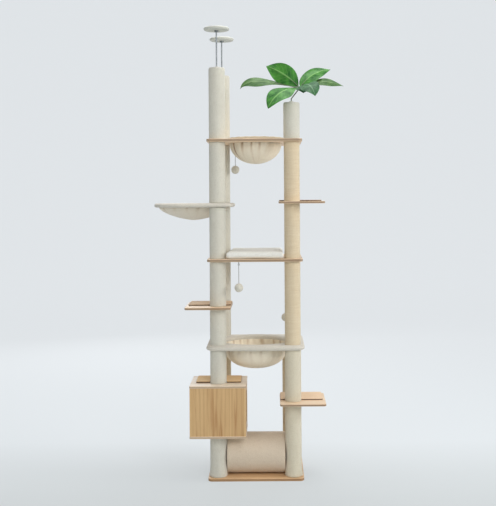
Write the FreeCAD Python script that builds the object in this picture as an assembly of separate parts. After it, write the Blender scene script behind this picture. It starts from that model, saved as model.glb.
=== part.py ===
import FreeCAD, Part
import math
import os

from FreeCAD import Vector

# Floor-to-ceiling cat tree, in millimetres.
# Origin: centre of the base board's underside. X runs to the right, Y to the back, Z up.

# Fits
FIT = 0.2             # sleeve on tube, board in its cover, plug in tube
RUN = 0.35            # between pieces that move against each other
HOLE_PLAY = 0.25      # radial play of a stud in a board
EDGE_BREAK = 1.5      # small chamfer along the board edges

# Wide boards
BOARD_WIDTH = 518.0
BOARD_DEPTH = 466.0
BOARD_THICKNESS = 15.0
BOARD_CORNER = 24.0

# Posts: axes inward from the board's edges, and what a post is made of
FRONT_POST_INSET = 56.0
REAR_POST_INSET = 67.0
POST_ROW_INSET = 63.0
TUBE_DIAMETER = 76.0
TUBE_WALL = 4.0
PLUSH_THICKNESS = 6.8
SISAL_THICKNESS = 5.3
PLUG_LENGTH = 26.0

# Lengths of post between one level and the next
BOX_OVER_TUNNEL = 3.0
LOWER_RIGHT_STEP_RISE = 393.0    # above the base
LOWER_HAMMOCK_RISE = 182.0       # above the box
LEFT_STEP_RISE = 202.0           # above the lower hammock
MID_SHELF_RISE = 456.0           # above the lower hammock
SIDE_HAMMOCK_RISE = 280.0        # above the middle shelf
UPPER_RIGHT_STEP_RISE = 299.0    # above the middle shelf
TOP_SHELF_RISE = 635.0           # above the middle shelf
TALL_POST_RISE = 385.0           # above the top shelf
PLANT_POST_RISE = 194.0          # above the top shelf

# Fasteners
STUD_DIAMETER = 8.0
STUD_REACH = 22.0     # depth of a stud in the plug on either side of its board
NUT_ACROSS = 13.0
NUT_HEIGHT = 7.0
BOLT_HEAD = 18.0
BOLT_HEAD_DEPTH = 5.0
BOLT_RECESS = 0.8     # depth of a bolt head below the base board's underside

# Steps and their mats
STEP_WIDTH = 248.0
STEP_FRONT = 95.0     # board in front of its post's axis
STEP_BACK = 208.0     # board behind its post's axis
STEP_OUTWARD = 52.0   # the board's middle, outward from its post's axis
STEP_THICKNESS = 12.0
STEP_CORNER = 14.0
MAT_THICKNESS = 6.5
MAT_SETBACK = 15.0    # front edge of a mat behind its post's axis
MAT_REAR_MARGIN = 2.0
MAT_INNER_MARGIN = 3.0
MAT_OUTER_MARGIN = 14.0
MAT_CORNER = 8.0
MAT_PLAY = 1.5        # radial play of the mat's notch round the post

# Box
BOX_WIDTH = 304.0
BOX_FRONT = 98.0      # box in front of its post's axis
BOX_BACK = 202.0      # box behind its post's axis
BOX_HEIGHT = 282.0
BOX_PANEL = 12.0
BOX_CORNER = 8.0
BOX_REVEAL = 1.5      # each panel's face behind the edge that covers it
ENTRANCE_DIAMETER = 185.0
ENTRANCE_RISE = 6.0   # centre of the entrance above the middle of its panel
ROOF_MAT_SIDE_MARGIN = 30.0
ROOF_MAT_REAR_MARGIN = 26.0
ROOF_MAT_SETBACK = -4.0
ROOF_MAT_THICKNESS = 8.0
DOWEL_DIAMETER = 8.0
DOWEL_LENGTH = 30.0
DOWEL_INSET = 60.0

# Hammocks
HAMMOCK_COVER = 4.0   # plush on each side of the frame board
HAMMOCK_CORNER = 46.0
HAMMOCK_OVERHANG = 8.0       # the lower hammock's frame beyond the boards' ends
LOWER_BOWL_RADIUS = 178.0
LOWER_BOWL_DEPTH = 133.0
LOWER_BOWL_FULLNESS = 2.4    # 2 is a round profile, more is fuller, less runs nearer to a cone
SIDE_HAMMOCK_NOSE = 150.0    # radius of the two outer corners
SIDE_BOWL_OUTWARD = 141.0    # the bowl's middle, outward from the left posts
SIDE_BOWL_RADIUS_X = 196.0
SIDE_BOWL_RADIUS_Y = 146.0
SIDE_BOWL_DEPTH = 72.0
SIDE_BOWL_FULLNESS = 1.5
SIDE_FRAME_OUTER = 16.0      # width of the frame beyond the bowl on the left
SIDE_FRAME_INNER = 28.0      # and on the right
TOP_BOWL_X = 5.0
TOP_BOWL_RADIUS = 143.0
TOP_BOWL_DEPTH = 114.0
TOP_BOWL_FULLNESS = 2.0
HEM_RADIUS = 9.0
HOOP_RADIUS = 3.0
CLOTH = 3.0
FLANGE_WIDTH = 12.0   # cloth flange sewn under a hammock's frame
PLEATS = 18
PLEAT_DEPTH = 3.0
BOWL_STATIONS = (0, 22, 44, 64, 80)   # degrees round the bowl's profile, rim to flat bottom

# Cushion on the middle shelf
CUSHION_HEIGHT = 39.0
CUSHION_MARGIN = 10.0   # board in front of and behind the cushion
CUSHION_GAP = 3.0       # between the cushion's ends and the posts
CUSHION_CORNER = 30.0
CUSHION_DRAW = 5.0      # how far a side is drawn in between its corners
CUSHION_PROFILE = ((0, 12), (0.2, 3), (0.5, 0), (0.78, 4), (0.93, 18), (1, 60))   # height share, inset

# Tunnel
TUNNEL_DIAMETER = 220.0
TUNNEL_WALL = 5.0
TUNNEL_COVER = 4.0
TUNNEL_BEHIND = 70.0  # the tunnel's axis behind the front posts
TUNNEL_GAP = 0.5      # between the tunnel's ends and the posts
SCREW_SPACING = 200.0
SCREW_DIAMETER = 5.0
SCREW_BITE = 10.0     # depth of a tunnel screw in the base board
SCREW_HEAD_DIAMETER = 10.0
SCREW_HEAD = 3.0

# Ceiling pads
PAD_DIAMETER = 140.0
PAD_THICKNESS = 16.0
PAD_ROUND = 5.0
ROD_DIAMETER = 8.0
ROD_SHOWN = 208.0     # rod between the post's top and the pad
ROD_HIDDEN = 150.0    # rod inside the post at rest
ROD_IN_PAD = 9.0
PAD_NUT_DIAMETER = 22.0
PAD_NUT_HEIGHT = 8.0
SOCKET_DEPTH = 40.0
SOCKET_RIM = 3.0      # plush that shows round a socket's flange
SOCKET_FLANGE = 4.0
SOCKET_BOSS_DIAMETER = 22.0
SOCKET_BOSS = 7.0

# Ball toys: where each eye is screwed in, and how low its ball hangs
UPPER_TOY_MARGIN = 27.0       # eye outside the top bowl, behind it on the left
UPPER_TOY_DROP = 142.0        # ball's centre below the top shelf
MIDDLE_TOY_X = -88.0
MIDDLE_TOY_INSET = 28.0       # eye behind the middle shelf's front edge
MIDDLE_TOY_DROP = 141.0       # ball's centre below the middle shelf
LOWER_TOY_INSET_X = 91.0      # eye inward from the middle shelf's right edge
LOWER_TOY_INSET_Y = 133.0     # and from its back edge
LOWER_TOY_CLEAR = 94.5        # ball's underside above the lower hammock
BALL_DIAMETER = 45.0
TOY_CORD_DIAMETER = 2.5
CORD_IN_BALL = 10.0
EYE_RADIUS = 5.0      # to the middle of the eye's wire
EYE_WIRE = 2.6
EYE_NECK = 2.7        # shank between the eye and its board
EYE_SHANK = 10.0      # depth of the eye's shank in the board
LOOP_RADIUS = 4.2
LOOP_WIRE = 2.0

# Plant
STEM_DIAMETER = 6.0
STEM_IN_SOCKET = 30.0
STEM_STRAIGHT = 14.0  # upright stretch above the socket
STEM_LEAN = 46.0      # hub to the right of the post's axis
HUB_HEIGHT = 83.0     # hub above the post's top
HUB_RADIUS = 9.0
STALK_SINK = 4.0      # how far a stalk starts inside the hub
LEAF_THICKNESS = 2.4
LEAF_FOLD = 0.16      # rise of a leaf's edges over its half width
# Each leaf: compass angle from +X, pitch at the hub, pitch at the tip, bare stalk, blade, width, roll
LEAVES = (
    (176.0, 26.0, -28.0, 112.0, 218.0, 76.0, -42.0),
    (153.0, 64.0, 4.0, 30.0, 216.0, 124.0, -62.0),
    (213.0, 4.0, -64.0, 36.0, 218.0, 122.0, -24.0),
    (26.0, 56.0, 4.0, 18.0, 212.0, 84.0, 46.0),
    (8.0, 30.0, -20.0, 74.0, 174.0, 58.0, 46.0),
    (-62.0, 30.0, -70.0, 12.0, 186.0, 104.0, 22.0),
    (-74.0, 6.0, -60.0, 8.0, 72.0, 64.0, 0.0),
)
BLADE_SHAPE = (0.12, 0.62, 0.96, 0.94, 0.62, 0.05)   # width along the blade, stalk to tip

# Levels that follow, each the underside of what the posts carry there
HAMMOCK_THICKNESS = BOARD_THICKNESS + 2 * HAMMOCK_COVER
BOX_FLOOR_Z = BOARD_THICKNESS + TUNNEL_DIAMETER + BOX_OVER_TUNNEL
BOX_ROOF_TOP = BOX_FLOOR_Z + BOX_HEIGHT
LOWER_RIGHT_STEP_Z = BOARD_THICKNESS + LOWER_RIGHT_STEP_RISE
LOWER_HAMMOCK_Z = BOX_ROOF_TOP + LOWER_HAMMOCK_RISE
LOWER_HAMMOCK_TOP = LOWER_HAMMOCK_Z + HAMMOCK_THICKNESS
LEFT_STEP_Z = LOWER_HAMMOCK_TOP + LEFT_STEP_RISE
MID_SHELF_Z = LOWER_HAMMOCK_TOP + MID_SHELF_RISE
MID_SHELF_TOP = MID_SHELF_Z + BOARD_THICKNESS
SIDE_HAMMOCK_Z = MID_SHELF_TOP + SIDE_HAMMOCK_RISE
UPPER_RIGHT_STEP_Z = MID_SHELF_TOP + UPPER_RIGHT_STEP_RISE
TOP_SHELF_Z = MID_SHELF_TOP + TOP_SHELF_RISE
TOP_SHELF_TOP = TOP_SHELF_Z + BOARD_THICKNESS
TALL_POST_TOP = TOP_SHELF_TOP + TALL_POST_RISE
PLANT_POST_TOP = TOP_SHELF_TOP + PLANT_POST_RISE
PAD_UNDERSIDE_Z = TALL_POST_TOP + ROD_SHOWN

# Radii and places that follow
TUBE_RADIUS = TUBE_DIAMETER / 2
TUBE_BORE = TUBE_RADIUS - TUBE_WALL
COVER_BORE = TUBE_RADIUS + FIT
PLUSH_RADIUS = COVER_BORE + PLUSH_THICKNESS
SISAL_RADIUS = COVER_BORE + SISAL_THICKNESS
STUD_RADIUS = STUD_DIAMETER / 2
EYE_DROP = EYE_NECK + EYE_WIRE / 2 + EYE_RADIUS
FRONT_POST_X = BOARD_WIDTH / 2 - FRONT_POST_INSET
REAR_POST_X = BOARD_WIDTH / 2 - REAR_POST_INSET
POST_ROW_Y = BOARD_DEPTH / 2 - POST_ROW_INSET
FRONT_LEFT = (-FRONT_POST_X, -POST_ROW_Y)
FRONT_RIGHT = (FRONT_POST_X, -POST_ROW_Y)
REAR_LEFT = (-REAR_POST_X, POST_ROW_Y)
REAR_RIGHT = (REAR_POST_X, POST_ROW_Y)
TUNNEL_Y = -POST_ROW_Y + TUNNEL_BEHIND
SIDE_BOWL_X = -FRONT_POST_X - SIDE_BOWL_OUTWARD
SIDE_HAMMOCK_LEFT = SIDE_BOWL_X - SIDE_BOWL_RADIUS_X - SIDE_FRAME_OUTER
SIDE_HAMMOCK_RIGHT = SIDE_BOWL_X + SIDE_BOWL_RADIUS_X + SIDE_FRAME_INNER
TOP_HOLE_RADIUS = TOP_BOWL_RADIUS + PLEAT_DEPTH + RUN
UPPER_TOY_OUT = (TOP_BOWL_RADIUS + UPPER_TOY_MARGIN) * math.sqrt(0.5)
LOWER_TOY_DROP = MID_SHELF_RISE - LOWER_TOY_CLEAR - BALL_DIAMETER / 2

# Each toy: its eye's x and y, the underside of its board, and the drop to the ball's centre
TOYS = {
    "upper": (TOP_BOWL_X - UPPER_TOY_OUT, UPPER_TOY_OUT, TOP_SHELF_Z, UPPER_TOY_DROP),
    "middle": (MIDDLE_TOY_X, -BOARD_DEPTH / 2 + MIDDLE_TOY_INSET, MID_SHELF_Z, MIDDLE_TOY_DROP),
    "lower": (BOARD_WIDTH / 2 - LOWER_TOY_INSET_X, BOARD_DEPTH / 2 - LOWER_TOY_INSET_Y, MID_SHELF_Z,
              LOWER_TOY_DROP),
}

# What crosses each post, from the floor up: underside and thickness
LOWER_HAMMOCK = (LOWER_HAMMOCK_Z, HAMMOCK_THICKNESS)
SIDE_HAMMOCK = (SIDE_HAMMOCK_Z, HAMMOCK_THICKNESS)
MID_SHELF = (MID_SHELF_Z, BOARD_THICKNESS)
TOP_SHELF = (TOP_SHELF_Z, BOARD_THICKNESS)
LEFT_STEP = (LEFT_STEP_Z, STEP_THICKNESS)
LOWER_RIGHT_STEP = (LOWER_RIGHT_STEP_Z, STEP_THICKNESS)
UPPER_RIGHT_STEP = (UPPER_RIGHT_STEP_Z, STEP_THICKNESS)
BOX = (BOX_FLOOR_Z, BOX_HEIGHT)
CROSSINGS = {
    FRONT_LEFT: (BOX, LOWER_HAMMOCK, LEFT_STEP, MID_SHELF, SIDE_HAMMOCK, TOP_SHELF),
    FRONT_RIGHT: (LOWER_RIGHT_STEP, LOWER_HAMMOCK, MID_SHELF, UPPER_RIGHT_STEP, TOP_SHELF),
    REAR_LEFT: (LOWER_HAMMOCK, MID_SHELF, SIDE_HAMMOCK, TOP_SHELF),
    REAR_RIGHT: (LOWER_HAMMOCK,),
}
POST_TOPS = {FRONT_LEFT: TALL_POST_TOP, REAR_LEFT: TALL_POST_TOP, FRONT_RIGHT: PLANT_POST_TOP}

# Scratching segments covered in sisal, counted from the base
SISAL_SEGMENTS = {FRONT_LEFT: (), FRONT_RIGHT: (2, 3, 4), REAR_LEFT: (0,), REAR_RIGHT: (0,)}


def cylinder(place, low, high, radius):
    """An upright round bar on a post's axis or any other (x, y)."""
    return Part.makeCylinder(radius, high - low, Vector(place[0], place[1], low))


def sleeve(place, low, high, outer, inner):
    return cylinder(place, low, high, outer).cut(cylinder(place, low, high, inner))


def upright_edges(solid):
    return [edge for edge in solid.Edges if abs(edge.tangentAt(edge.FirstParameter).z) > 0.999]


def outline_edges(solid, low, high):
    """The edges of the flat top and bottom faces."""
    flat = []
    for edge in solid.Edges:
        box = edge.BoundBox
        if box.ZLength < 1e-6 and (abs(box.ZMin - low) < 1e-6 or abs(box.ZMin - high) < 1e-6):
            flat.append(edge)
    return flat


def block(x_low, x_high, y_low, y_high, low, high):
    return Part.makeBox(x_high - x_low, y_high - y_low, high - low, Vector(x_low, y_low, low))


def plate(x_low, x_high, y_low, y_high, low, thickness, corner, edge=EDGE_BREAK):
    """A board with rounded corners and broken edges."""
    high = low + thickness
    solid = block(x_low, x_high, y_low, y_high, low, high)
    solid = solid.makeFillet(corner, upright_edges(solid))
    return solid.makeChamfer(edge, outline_edges(solid, low, high))


def wide_plate(low, thickness, corner):
    half_x = BOARD_WIDTH / 2
    half_y = BOARD_DEPTH / 2
    return plate(-half_x, half_x, -half_y, half_y, low, thickness, corner)


def stud_holes(places, low, high):
    """Clearance holes for the studs that join the posts through a board."""
    holes = [cylinder(place, low - 1, high + 1, STUD_RADIUS + HOLE_PLAY) for place in places]
    return Part.makeCompound(holes)


def segments(place):
    """The clear stretches of a post between the base and what crosses it."""
    spans = []
    start = BOARD_THICKNESS
    for low, thickness in CROSSINGS[place]:
        spans.append((start, low))
        start = low + thickness
    if place in POST_TOPS:
        spans.append((start, POST_TOPS[place]))
    return spans


def make_base_board():
    board = wide_plate(0, BOARD_THICKNESS, BOARD_CORNER)
    for place in CROSSINGS:
        board = board.cut(cylinder(place, -1, BOARD_THICKNESS + 1, STUD_RADIUS + HOLE_PLAY))
        board = board.cut(bolt_head(place, HOLE_PLAY, -1))
    for place in tunnel_screw_places():
        tip = BOARD_THICKNESS - SCREW_BITE
        board = board.cut(cylinder(place, tip, BOARD_THICKNESS + 1, SCREW_DIAMETER / 2 + FIT))
    return board


def bolt_head(place, play, low):
    """Countersunk head under the base board, narrow end up."""
    wide = BOLT_HEAD / 2 + play
    narrow = STUD_RADIUS + play
    cone = Part.makeCone(wide, narrow, BOLT_HEAD_DEPTH, Vector(place[0], place[1], BOLT_RECESS))
    if low < BOLT_RECESS:
        cone = cone.fuse(cylinder(place, low, BOLT_RECESS, wide))
    return cone


def tunnel_screw_places():
    half = SCREW_SPACING / 2
    return [(-half, TUNNEL_Y), (half, TUNNEL_Y)]


def make_tubes():
    tubes = []
    for place in CROSSINGS:
        for low, high in segments(place):
            tubes.append(sleeve(place, low, high, TUBE_RADIUS, TUBE_BORE))
    return tubes


def make_plugs():
    """Wooden plugs in the tube ends, bored for the studs; a post's top takes a socket instead."""
    plugs = []
    for place in CROSSINGS:
        spans = segments(place)
        for low, high in spans:
            ends = [low, high - PLUG_LENGTH]
            if high == POST_TOPS.get(place):
                ends = [low]
            for end in ends:
                plugs.append(sleeve(place, end, end + PLUG_LENGTH, TUBE_BORE - FIT, STUD_RADIUS + FIT))
    return plugs


def nut(place, low):
    """A hexagon nut round a stud."""
    corner = NUT_ACROSS / math.sqrt(3)
    points = []
    for side in range(7):
        turn = math.radians(60 * side)
        points.append(Vector(place[0] + corner * math.cos(turn), place[1] + corner * math.sin(turn), low))
    return Part.Face(Part.makePolygon(points)).extrude(Vector(0, 0, NUT_HEIGHT))


def make_fasteners():
    """Studs through the boards, bolts through the base, nuts in the box, screws in the tunnel."""
    pieces = []
    for place, crossings in CROSSINGS.items():
        bolt = cylinder(place, BOLT_RECESS + BOLT_HEAD_DEPTH, BOARD_THICKNESS + STUD_REACH, STUD_RADIUS)
        pieces.append(bolt.fuse(bolt_head(place, 0, BOLT_RECESS)))
        for crossing in crossings:
            low = crossing[0]
            high = low + crossing[1]
            if crossing == BOX:
                inside = low + BOX_PANEL
                under_roof = high - BOX_PANEL
                lower = cylinder(place, low - STUD_REACH, inside + NUT_HEIGHT, STUD_RADIUS)
                upper = cylinder(place, under_roof - NUT_HEIGHT, high + STUD_REACH, STUD_RADIUS)
                pieces.append(lower.fuse(nut(place, inside)))
                pieces.append(upper.fuse(nut(place, under_roof - NUT_HEIGHT)))
            elif place == REAR_RIGHT:
                pieces.append(cylinder(place, low - STUD_REACH, high - HAMMOCK_COVER, STUD_RADIUS))
            else:
                pieces.append(cylinder(place, low - STUD_REACH, high + STUD_REACH, STUD_RADIUS))
    bore = TUNNEL_DIAMETER / 2 - TUNNEL_COVER - TUNNEL_WALL
    head_radius = SCREW_HEAD_DIAMETER / 2
    seat = BOARD_THICKNESS + TUNNEL_DIAMETER / 2 - math.sqrt(bore ** 2 - head_radius ** 2) + FIT
    for place in tunnel_screw_places():
        shank = cylinder(place, BOARD_THICKNESS - SCREW_BITE, seat, SCREW_DIAMETER / 2)
        head = cylinder(place, seat, seat + SCREW_HEAD, head_radius)
        pieces.append(shank.fuse(head))
    return pieces


def make_socket(place, bore):
    """Flanged plug in a post's top with a bored boss."""
    top = POST_TOPS[place]
    rim = top + SOCKET_FLANGE
    solid = cylinder(place, top - SOCKET_DEPTH, top, TUBE_BORE - FIT)
    solid = solid.fuse(cylinder(place, top, rim, PLUSH_RADIUS - SOCKET_RIM))
    solid = solid.fuse(cylinder(place, rim, rim + SOCKET_BOSS, SOCKET_BOSS_DIAMETER / 2))
    hole = cylinder(place, top - SOCKET_DEPTH - 1, rim + SOCKET_BOSS + 1, bore)
    return solid.removeSplitter().cut(hole)


def make_sockets():
    rod_bore = ROD_DIAMETER / 2 + RUN
    stem_bore = STEM_DIAMETER / 2 + RUN
    return [
        make_socket(FRONT_LEFT, rod_bore),
        make_socket(REAR_LEFT, rod_bore),
        make_socket(FRONT_RIGHT, stem_bore),
    ]


def make_covers(place):
    """Plush or sisal sleeves, one on each segment of a post."""
    covers = []
    for index, (low, high) in enumerate(segments(place)):
        outer = SISAL_RADIUS if index in SISAL_SEGMENTS[place] else PLUSH_RADIUS
        covers.append(sleeve(place, low, high, outer, COVER_BORE))
    return covers


def make_shelf(low, toys):
    """A wide board on three posts, drilled for their studs and for the eyes of its toys."""
    board = wide_plate(low, BOARD_THICKNESS, BOARD_CORNER)
    board = board.cut(stud_holes((FRONT_LEFT, FRONT_RIGHT, REAR_LEFT), low, low + BOARD_THICKNESS))
    for toy in toys:
        board = board.cut(eye_hole(TOYS[toy]))
    return board


def make_top_shelf():
    hole = cylinder((TOP_BOWL_X, 0), TOP_SHELF_Z - 1, TOP_SHELF_TOP + 1, TOP_HOLE_RADIUS)
    return make_shelf(TOP_SHELF_Z, ("upper",)).cut(hole)


def oval(centre_x, low, high, radius_x, radius_y):
    """An upright oval cutter."""
    if radius_x == radius_y:
        return cylinder((centre_x, 0), low, high, radius_x)
    curve = Part.Ellipse(Vector(centre_x, 0, low), radius_x, radius_y).toShape()
    return Part.Face(Part.Wire(curve)).extrude(Vector(0, 0, high - low))


def hammock_plate(side, low, thickness, shrink, rounded):
    """The outline of a hammock frame, drawn in by shrink: the side hammock has a round nose."""
    half_y = BOARD_DEPTH / 2 - shrink
    high = low + thickness
    if side:
        solid = block(SIDE_HAMMOCK_LEFT + shrink, SIDE_HAMMOCK_RIGHT - shrink, -half_y, half_y, low, high)
        nose = [edge for edge in upright_edges(solid) if edge.BoundBox.XMin < SIDE_BOWL_X]
        solid = solid.makeFillet(SIDE_HAMMOCK_NOSE - shrink, nose)
        square = [edge for edge in upright_edges(solid) if edge.BoundBox.XMin > SIDE_BOWL_X]
        solid = solid.makeFillet(HAMMOCK_CORNER - shrink, square)
    else:
        half_x = BOARD_WIDTH / 2 + HAMMOCK_OVERHANG - shrink
        solid = block(-half_x, half_x, -half_y, half_y, low, high)
        solid = solid.makeFillet(HAMMOCK_CORNER - shrink, upright_edges(solid))
    if rounded:
        solid = solid.makeFillet(2 * HAMMOCK_COVER, outline_edges(solid, low, high))
    return solid


def make_hammock(side, low, centre_x, radius_x, radius_y, places):
    """The frame board and the padded plush cover round it, both with the bowl's opening."""
    high = low + HAMMOCK_THICKNESS
    board_low = low + HAMMOCK_COVER
    board = hammock_plate(side, board_low, BOARD_THICKNESS, HAMMOCK_COVER, False)
    opening = oval(centre_x, low - 1, high + 1, radius_x + HAMMOCK_COVER, radius_y + HAMMOCK_COVER)
    board = board.cut(opening).cut(stud_holes(places, low, high))
    grow = HAMMOCK_COVER - FIT
    core = hammock_plate(side, board_low - FIT, BOARD_THICKNESS + 2 * FIT, grow, False)
    core = core.cut(oval(centre_x, low - 1, high + 1, radius_x + grow, radius_y + grow))
    cover = hammock_plate(side, low, HAMMOCK_THICKNESS, 0, True)
    cover = cover.cut(oval(centre_x, low - 1, high + 1, radius_x, radius_y))
    cover = cover.cut(core)
    for place in places:
        top = high + 1
        if place == REAR_RIGHT:
            top = high - HAMMOCK_COVER
        cover = cover.cut(cylinder(place, low - 1, top, STUD_RADIUS + HOLE_PLAY))
    return board, cover


def pleated_ring(centre_x, height, radius_x, radius_y, pleat):
    """Closed zigzag round an oval: the crests and hollows of a gathered cloth."""
    points = []
    for index in range(2 * PLEATS):
        turn = math.pi * index / PLEATS
        swing = pleat if index % 2 else -pleat
        x = centre_x + (radius_x + swing) * math.cos(turn)
        y = (radius_y + swing) * math.sin(turn)
        points.append(Vector(x, y, height))
    return Part.makePolygon(points + points[:1])


def bowl_form(centre_x, rim, radius_x, radius_y, depth, top, fullness):
    """The outer form of a hanging bowl: pleats at the rim fade out towards the bottom."""
    rings = [pleated_ring(centre_x, top, radius_x, radius_y, PLEAT_DEPTH)]
    power = 2 / fullness
    steepest = math.sin(math.radians(BOWL_STATIONS[-1])) ** power
    for angle in BOWL_STATIONS:
        fall = math.radians(angle)
        shrink = math.cos(fall) ** power
        height = rim - depth * math.sin(fall) ** power / steepest
        pleat = PLEAT_DEPTH * shrink
        rings.append(pleated_ring(centre_x, height, radius_x * shrink, radius_y * shrink, pleat))
    return Part.makeLoft(rings, True, True)


def make_bowl(centre_x, rim, radius_x, radius_y, depth, top, fullness):
    outer = bowl_form(centre_x, rim, radius_x, radius_y, depth, top, fullness)
    inner = bowl_form(centre_x, rim, radius_x - CLOTH, radius_y - CLOTH, depth - CLOTH, top + 1, fullness)
    return outer.cut(inner)


def make_hammock_bowl(centre_x, low, radius_x, radius_y, depth, fullness):
    """Cloth bowl with a flat flange under its hammock's cover."""
    mouth_x = radius_x - CLOTH
    mouth_y = radius_y - CLOTH
    rim = low - CLOTH
    bowl = make_bowl(centre_x, rim, mouth_x, mouth_y, depth - CLOTH, low, fullness)
    flange = oval(centre_x, rim, low, mouth_x + FLANGE_WIDTH, mouth_y + FLANGE_WIDTH)
    within = CLOTH / 2
    inside = bowl_form(centre_x, rim, mouth_x - within, mouth_y - within, depth - CLOTH, low + 1, fullness)
    return bowl.fuse(flange.cut(inside)).removeSplitter()


def make_top_bowl():
    """Cloth bowl through the top shelf; its rolled hem lies on the board round a wire hoop."""
    hem_z = TOP_SHELF_TOP + HEM_RADIUS
    ring_radius = TOP_BOWL_RADIUS + HEM_RADIUS - CLOTH / 2
    centre = Vector(TOP_BOWL_X, 0, hem_z)
    bowl = make_bowl(TOP_BOWL_X, TOP_SHELF_Z, TOP_BOWL_RADIUS, TOP_BOWL_RADIUS, TOP_BOWL_DEPTH, hem_z,
                     TOP_BOWL_FULLNESS)
    hem = Part.makeTorus(ring_radius, HEM_RADIUS, centre)
    inside = bowl_form(TOP_BOWL_X, TOP_SHELF_Z, TOP_BOWL_RADIUS - CLOTH, TOP_BOWL_RADIUS - CLOTH,
                       TOP_BOWL_DEPTH - CLOTH, hem_z + HEM_RADIUS + 1, TOP_BOWL_FULLNESS)
    hem = hem.cut(inside)
    hoop = Part.makeTorus(ring_radius, HOOP_RADIUS, centre)
    channel = Part.makeTorus(ring_radius, HOOP_RADIUS + FIT, centre)
    return bowl.fuse(hem).cut(channel), hoop


def step_sides(side, outer_margin, inner_margin):
    """Low and high X of a step or its mat. side is -1 on the left post and 1 on the right one."""
    middle = side * (FRONT_POST_X + STEP_OUTWARD)
    outer = middle + side * (STEP_WIDTH / 2 - outer_margin)
    inner = middle - side * (STEP_WIDTH / 2 - inner_margin)
    return min(outer, inner), max(outer, inner)


def make_step(side, crossing):
    low = crossing[0]
    x_low, x_high = step_sides(side, 0, 0)
    place = (side * FRONT_POST_X, -POST_ROW_Y)
    front = place[1] - STEP_FRONT
    back = place[1] + STEP_BACK
    board = plate(x_low, x_high, front, back, low, STEP_THICKNESS, STEP_CORNER)
    return board.cut(stud_holes((place,), low, low + STEP_THICKNESS))


def notched_mat(x_low, x_high, y_high, low, thickness, place, setback):
    """Thin mat that slips round a post from behind: the post stands in a notch in its front edge."""
    mat = plate(x_low, x_high, place[1] + setback, y_high, low, thickness, MAT_CORNER)
    return mat.cut(cylinder(place, low - 1, low + thickness + 1, PLUSH_RADIUS + MAT_PLAY))


def make_step_mat(side, crossing):
    low = crossing[0] + STEP_THICKNESS
    x_low, x_high = step_sides(side, MAT_OUTER_MARGIN, MAT_INNER_MARGIN)
    place = (side * FRONT_POST_X, -POST_ROW_Y)
    back = place[1] + STEP_BACK - MAT_REAR_MARGIN
    return notched_mat(x_low, x_high, back, low, MAT_THICKNESS, place, MAT_SETBACK)


def box_sides():
    return -FRONT_POST_X - BOX_WIDTH / 2, -FRONT_POST_X + BOX_WIDTH / 2


def box_front_back():
    return -POST_ROW_Y - BOX_FRONT, -POST_ROW_Y + BOX_BACK


def make_box():
    """Six panels: floor and roof over the ends of the sides, front and back between the sides."""
    left, right = box_sides()
    front, back = box_front_back()
    floor_top = BOX_FLOOR_Z + BOX_PANEL
    roof_low = BOX_ROOF_TOP - BOX_PANEL
    panels = {}
    for name, low in (("box_floor", BOX_FLOOR_Z), ("box_roof", roof_low)):
        panel = plate(left, right, front, back, low, BOX_PANEL, BOX_CORNER)
        panels[name] = panel.cut(stud_holes((FRONT_LEFT,), low, low + BOX_PANEL))
    outer_left = left + BOX_REVEAL
    outer_right = right - BOX_REVEAL
    inner_left = outer_left + BOX_PANEL
    inner_right = outer_right - BOX_PANEL
    side_front = front + BOX_REVEAL
    side_back = back - BOX_REVEAL
    panels["box_left_panel"] = block(outer_left, inner_left, side_front, side_back, floor_top, roof_low)
    side = block(inner_right, outer_right, side_front, side_back, floor_top, roof_low)
    entrance_z = (BOX_FLOOR_Z + BOX_ROOF_TOP) / 2 + ENTRANCE_RISE
    middle = Vector(inner_right - BOX_PANEL, (front + back) / 2, entrance_z)
    entrance = Part.makeCylinder(ENTRANCE_DIAMETER / 2, 3 * BOX_PANEL, middle, Vector(1, 0, 0))
    panels["box_right_panel"] = side.cut(entrance)
    face = side_front + BOX_REVEAL
    panels["box_front_panel"] = block(inner_left, inner_right, face, face + BOX_PANEL, floor_top, roof_low)
    face = side_back - BOX_REVEAL
    panels["box_back_panel"] = block(inner_left, inner_right, face - BOX_PANEL, face, floor_top, roof_low)
    dowels = []
    for x in (outer_left + BOX_PANEL / 2, outer_right - BOX_PANEL / 2):
        for y in (front + DOWEL_INSET, back - DOWEL_INSET):
            for joint in (floor_top, roof_low):
                low = joint - DOWEL_LENGTH + BOX_PANEL / 2
                if joint == floor_top:
                    low = joint - BOX_PANEL / 2
                dowels.append(cylinder((x, y), low, low + DOWEL_LENGTH, DOWEL_DIAMETER / 2))
    holes = [cylinder(axis_of(dowel), dowel.BoundBox.ZMin, dowel.BoundBox.ZMax, DOWEL_DIAMETER / 2 + FIT)
             for dowel in dowels]
    bores = Part.makeCompound(holes)
    for name in ("box_floor", "box_roof", "box_left_panel", "box_right_panel"):
        panels[name] = panels[name].cut(bores)
    return panels, dowels


def axis_of(bar):
    middle = bar.BoundBox.Center
    return middle.x, middle.y


def make_roof_mat():
    left, right = box_sides()
    back = box_front_back()[1]
    margin = ROOF_MAT_SIDE_MARGIN
    return notched_mat(left + margin, right - margin, back - ROOF_MAT_REAR_MARGIN, BOX_ROOF_TOP,
                       ROOF_MAT_THICKNESS, FRONT_LEFT, ROOF_MAT_SETBACK)


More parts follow.
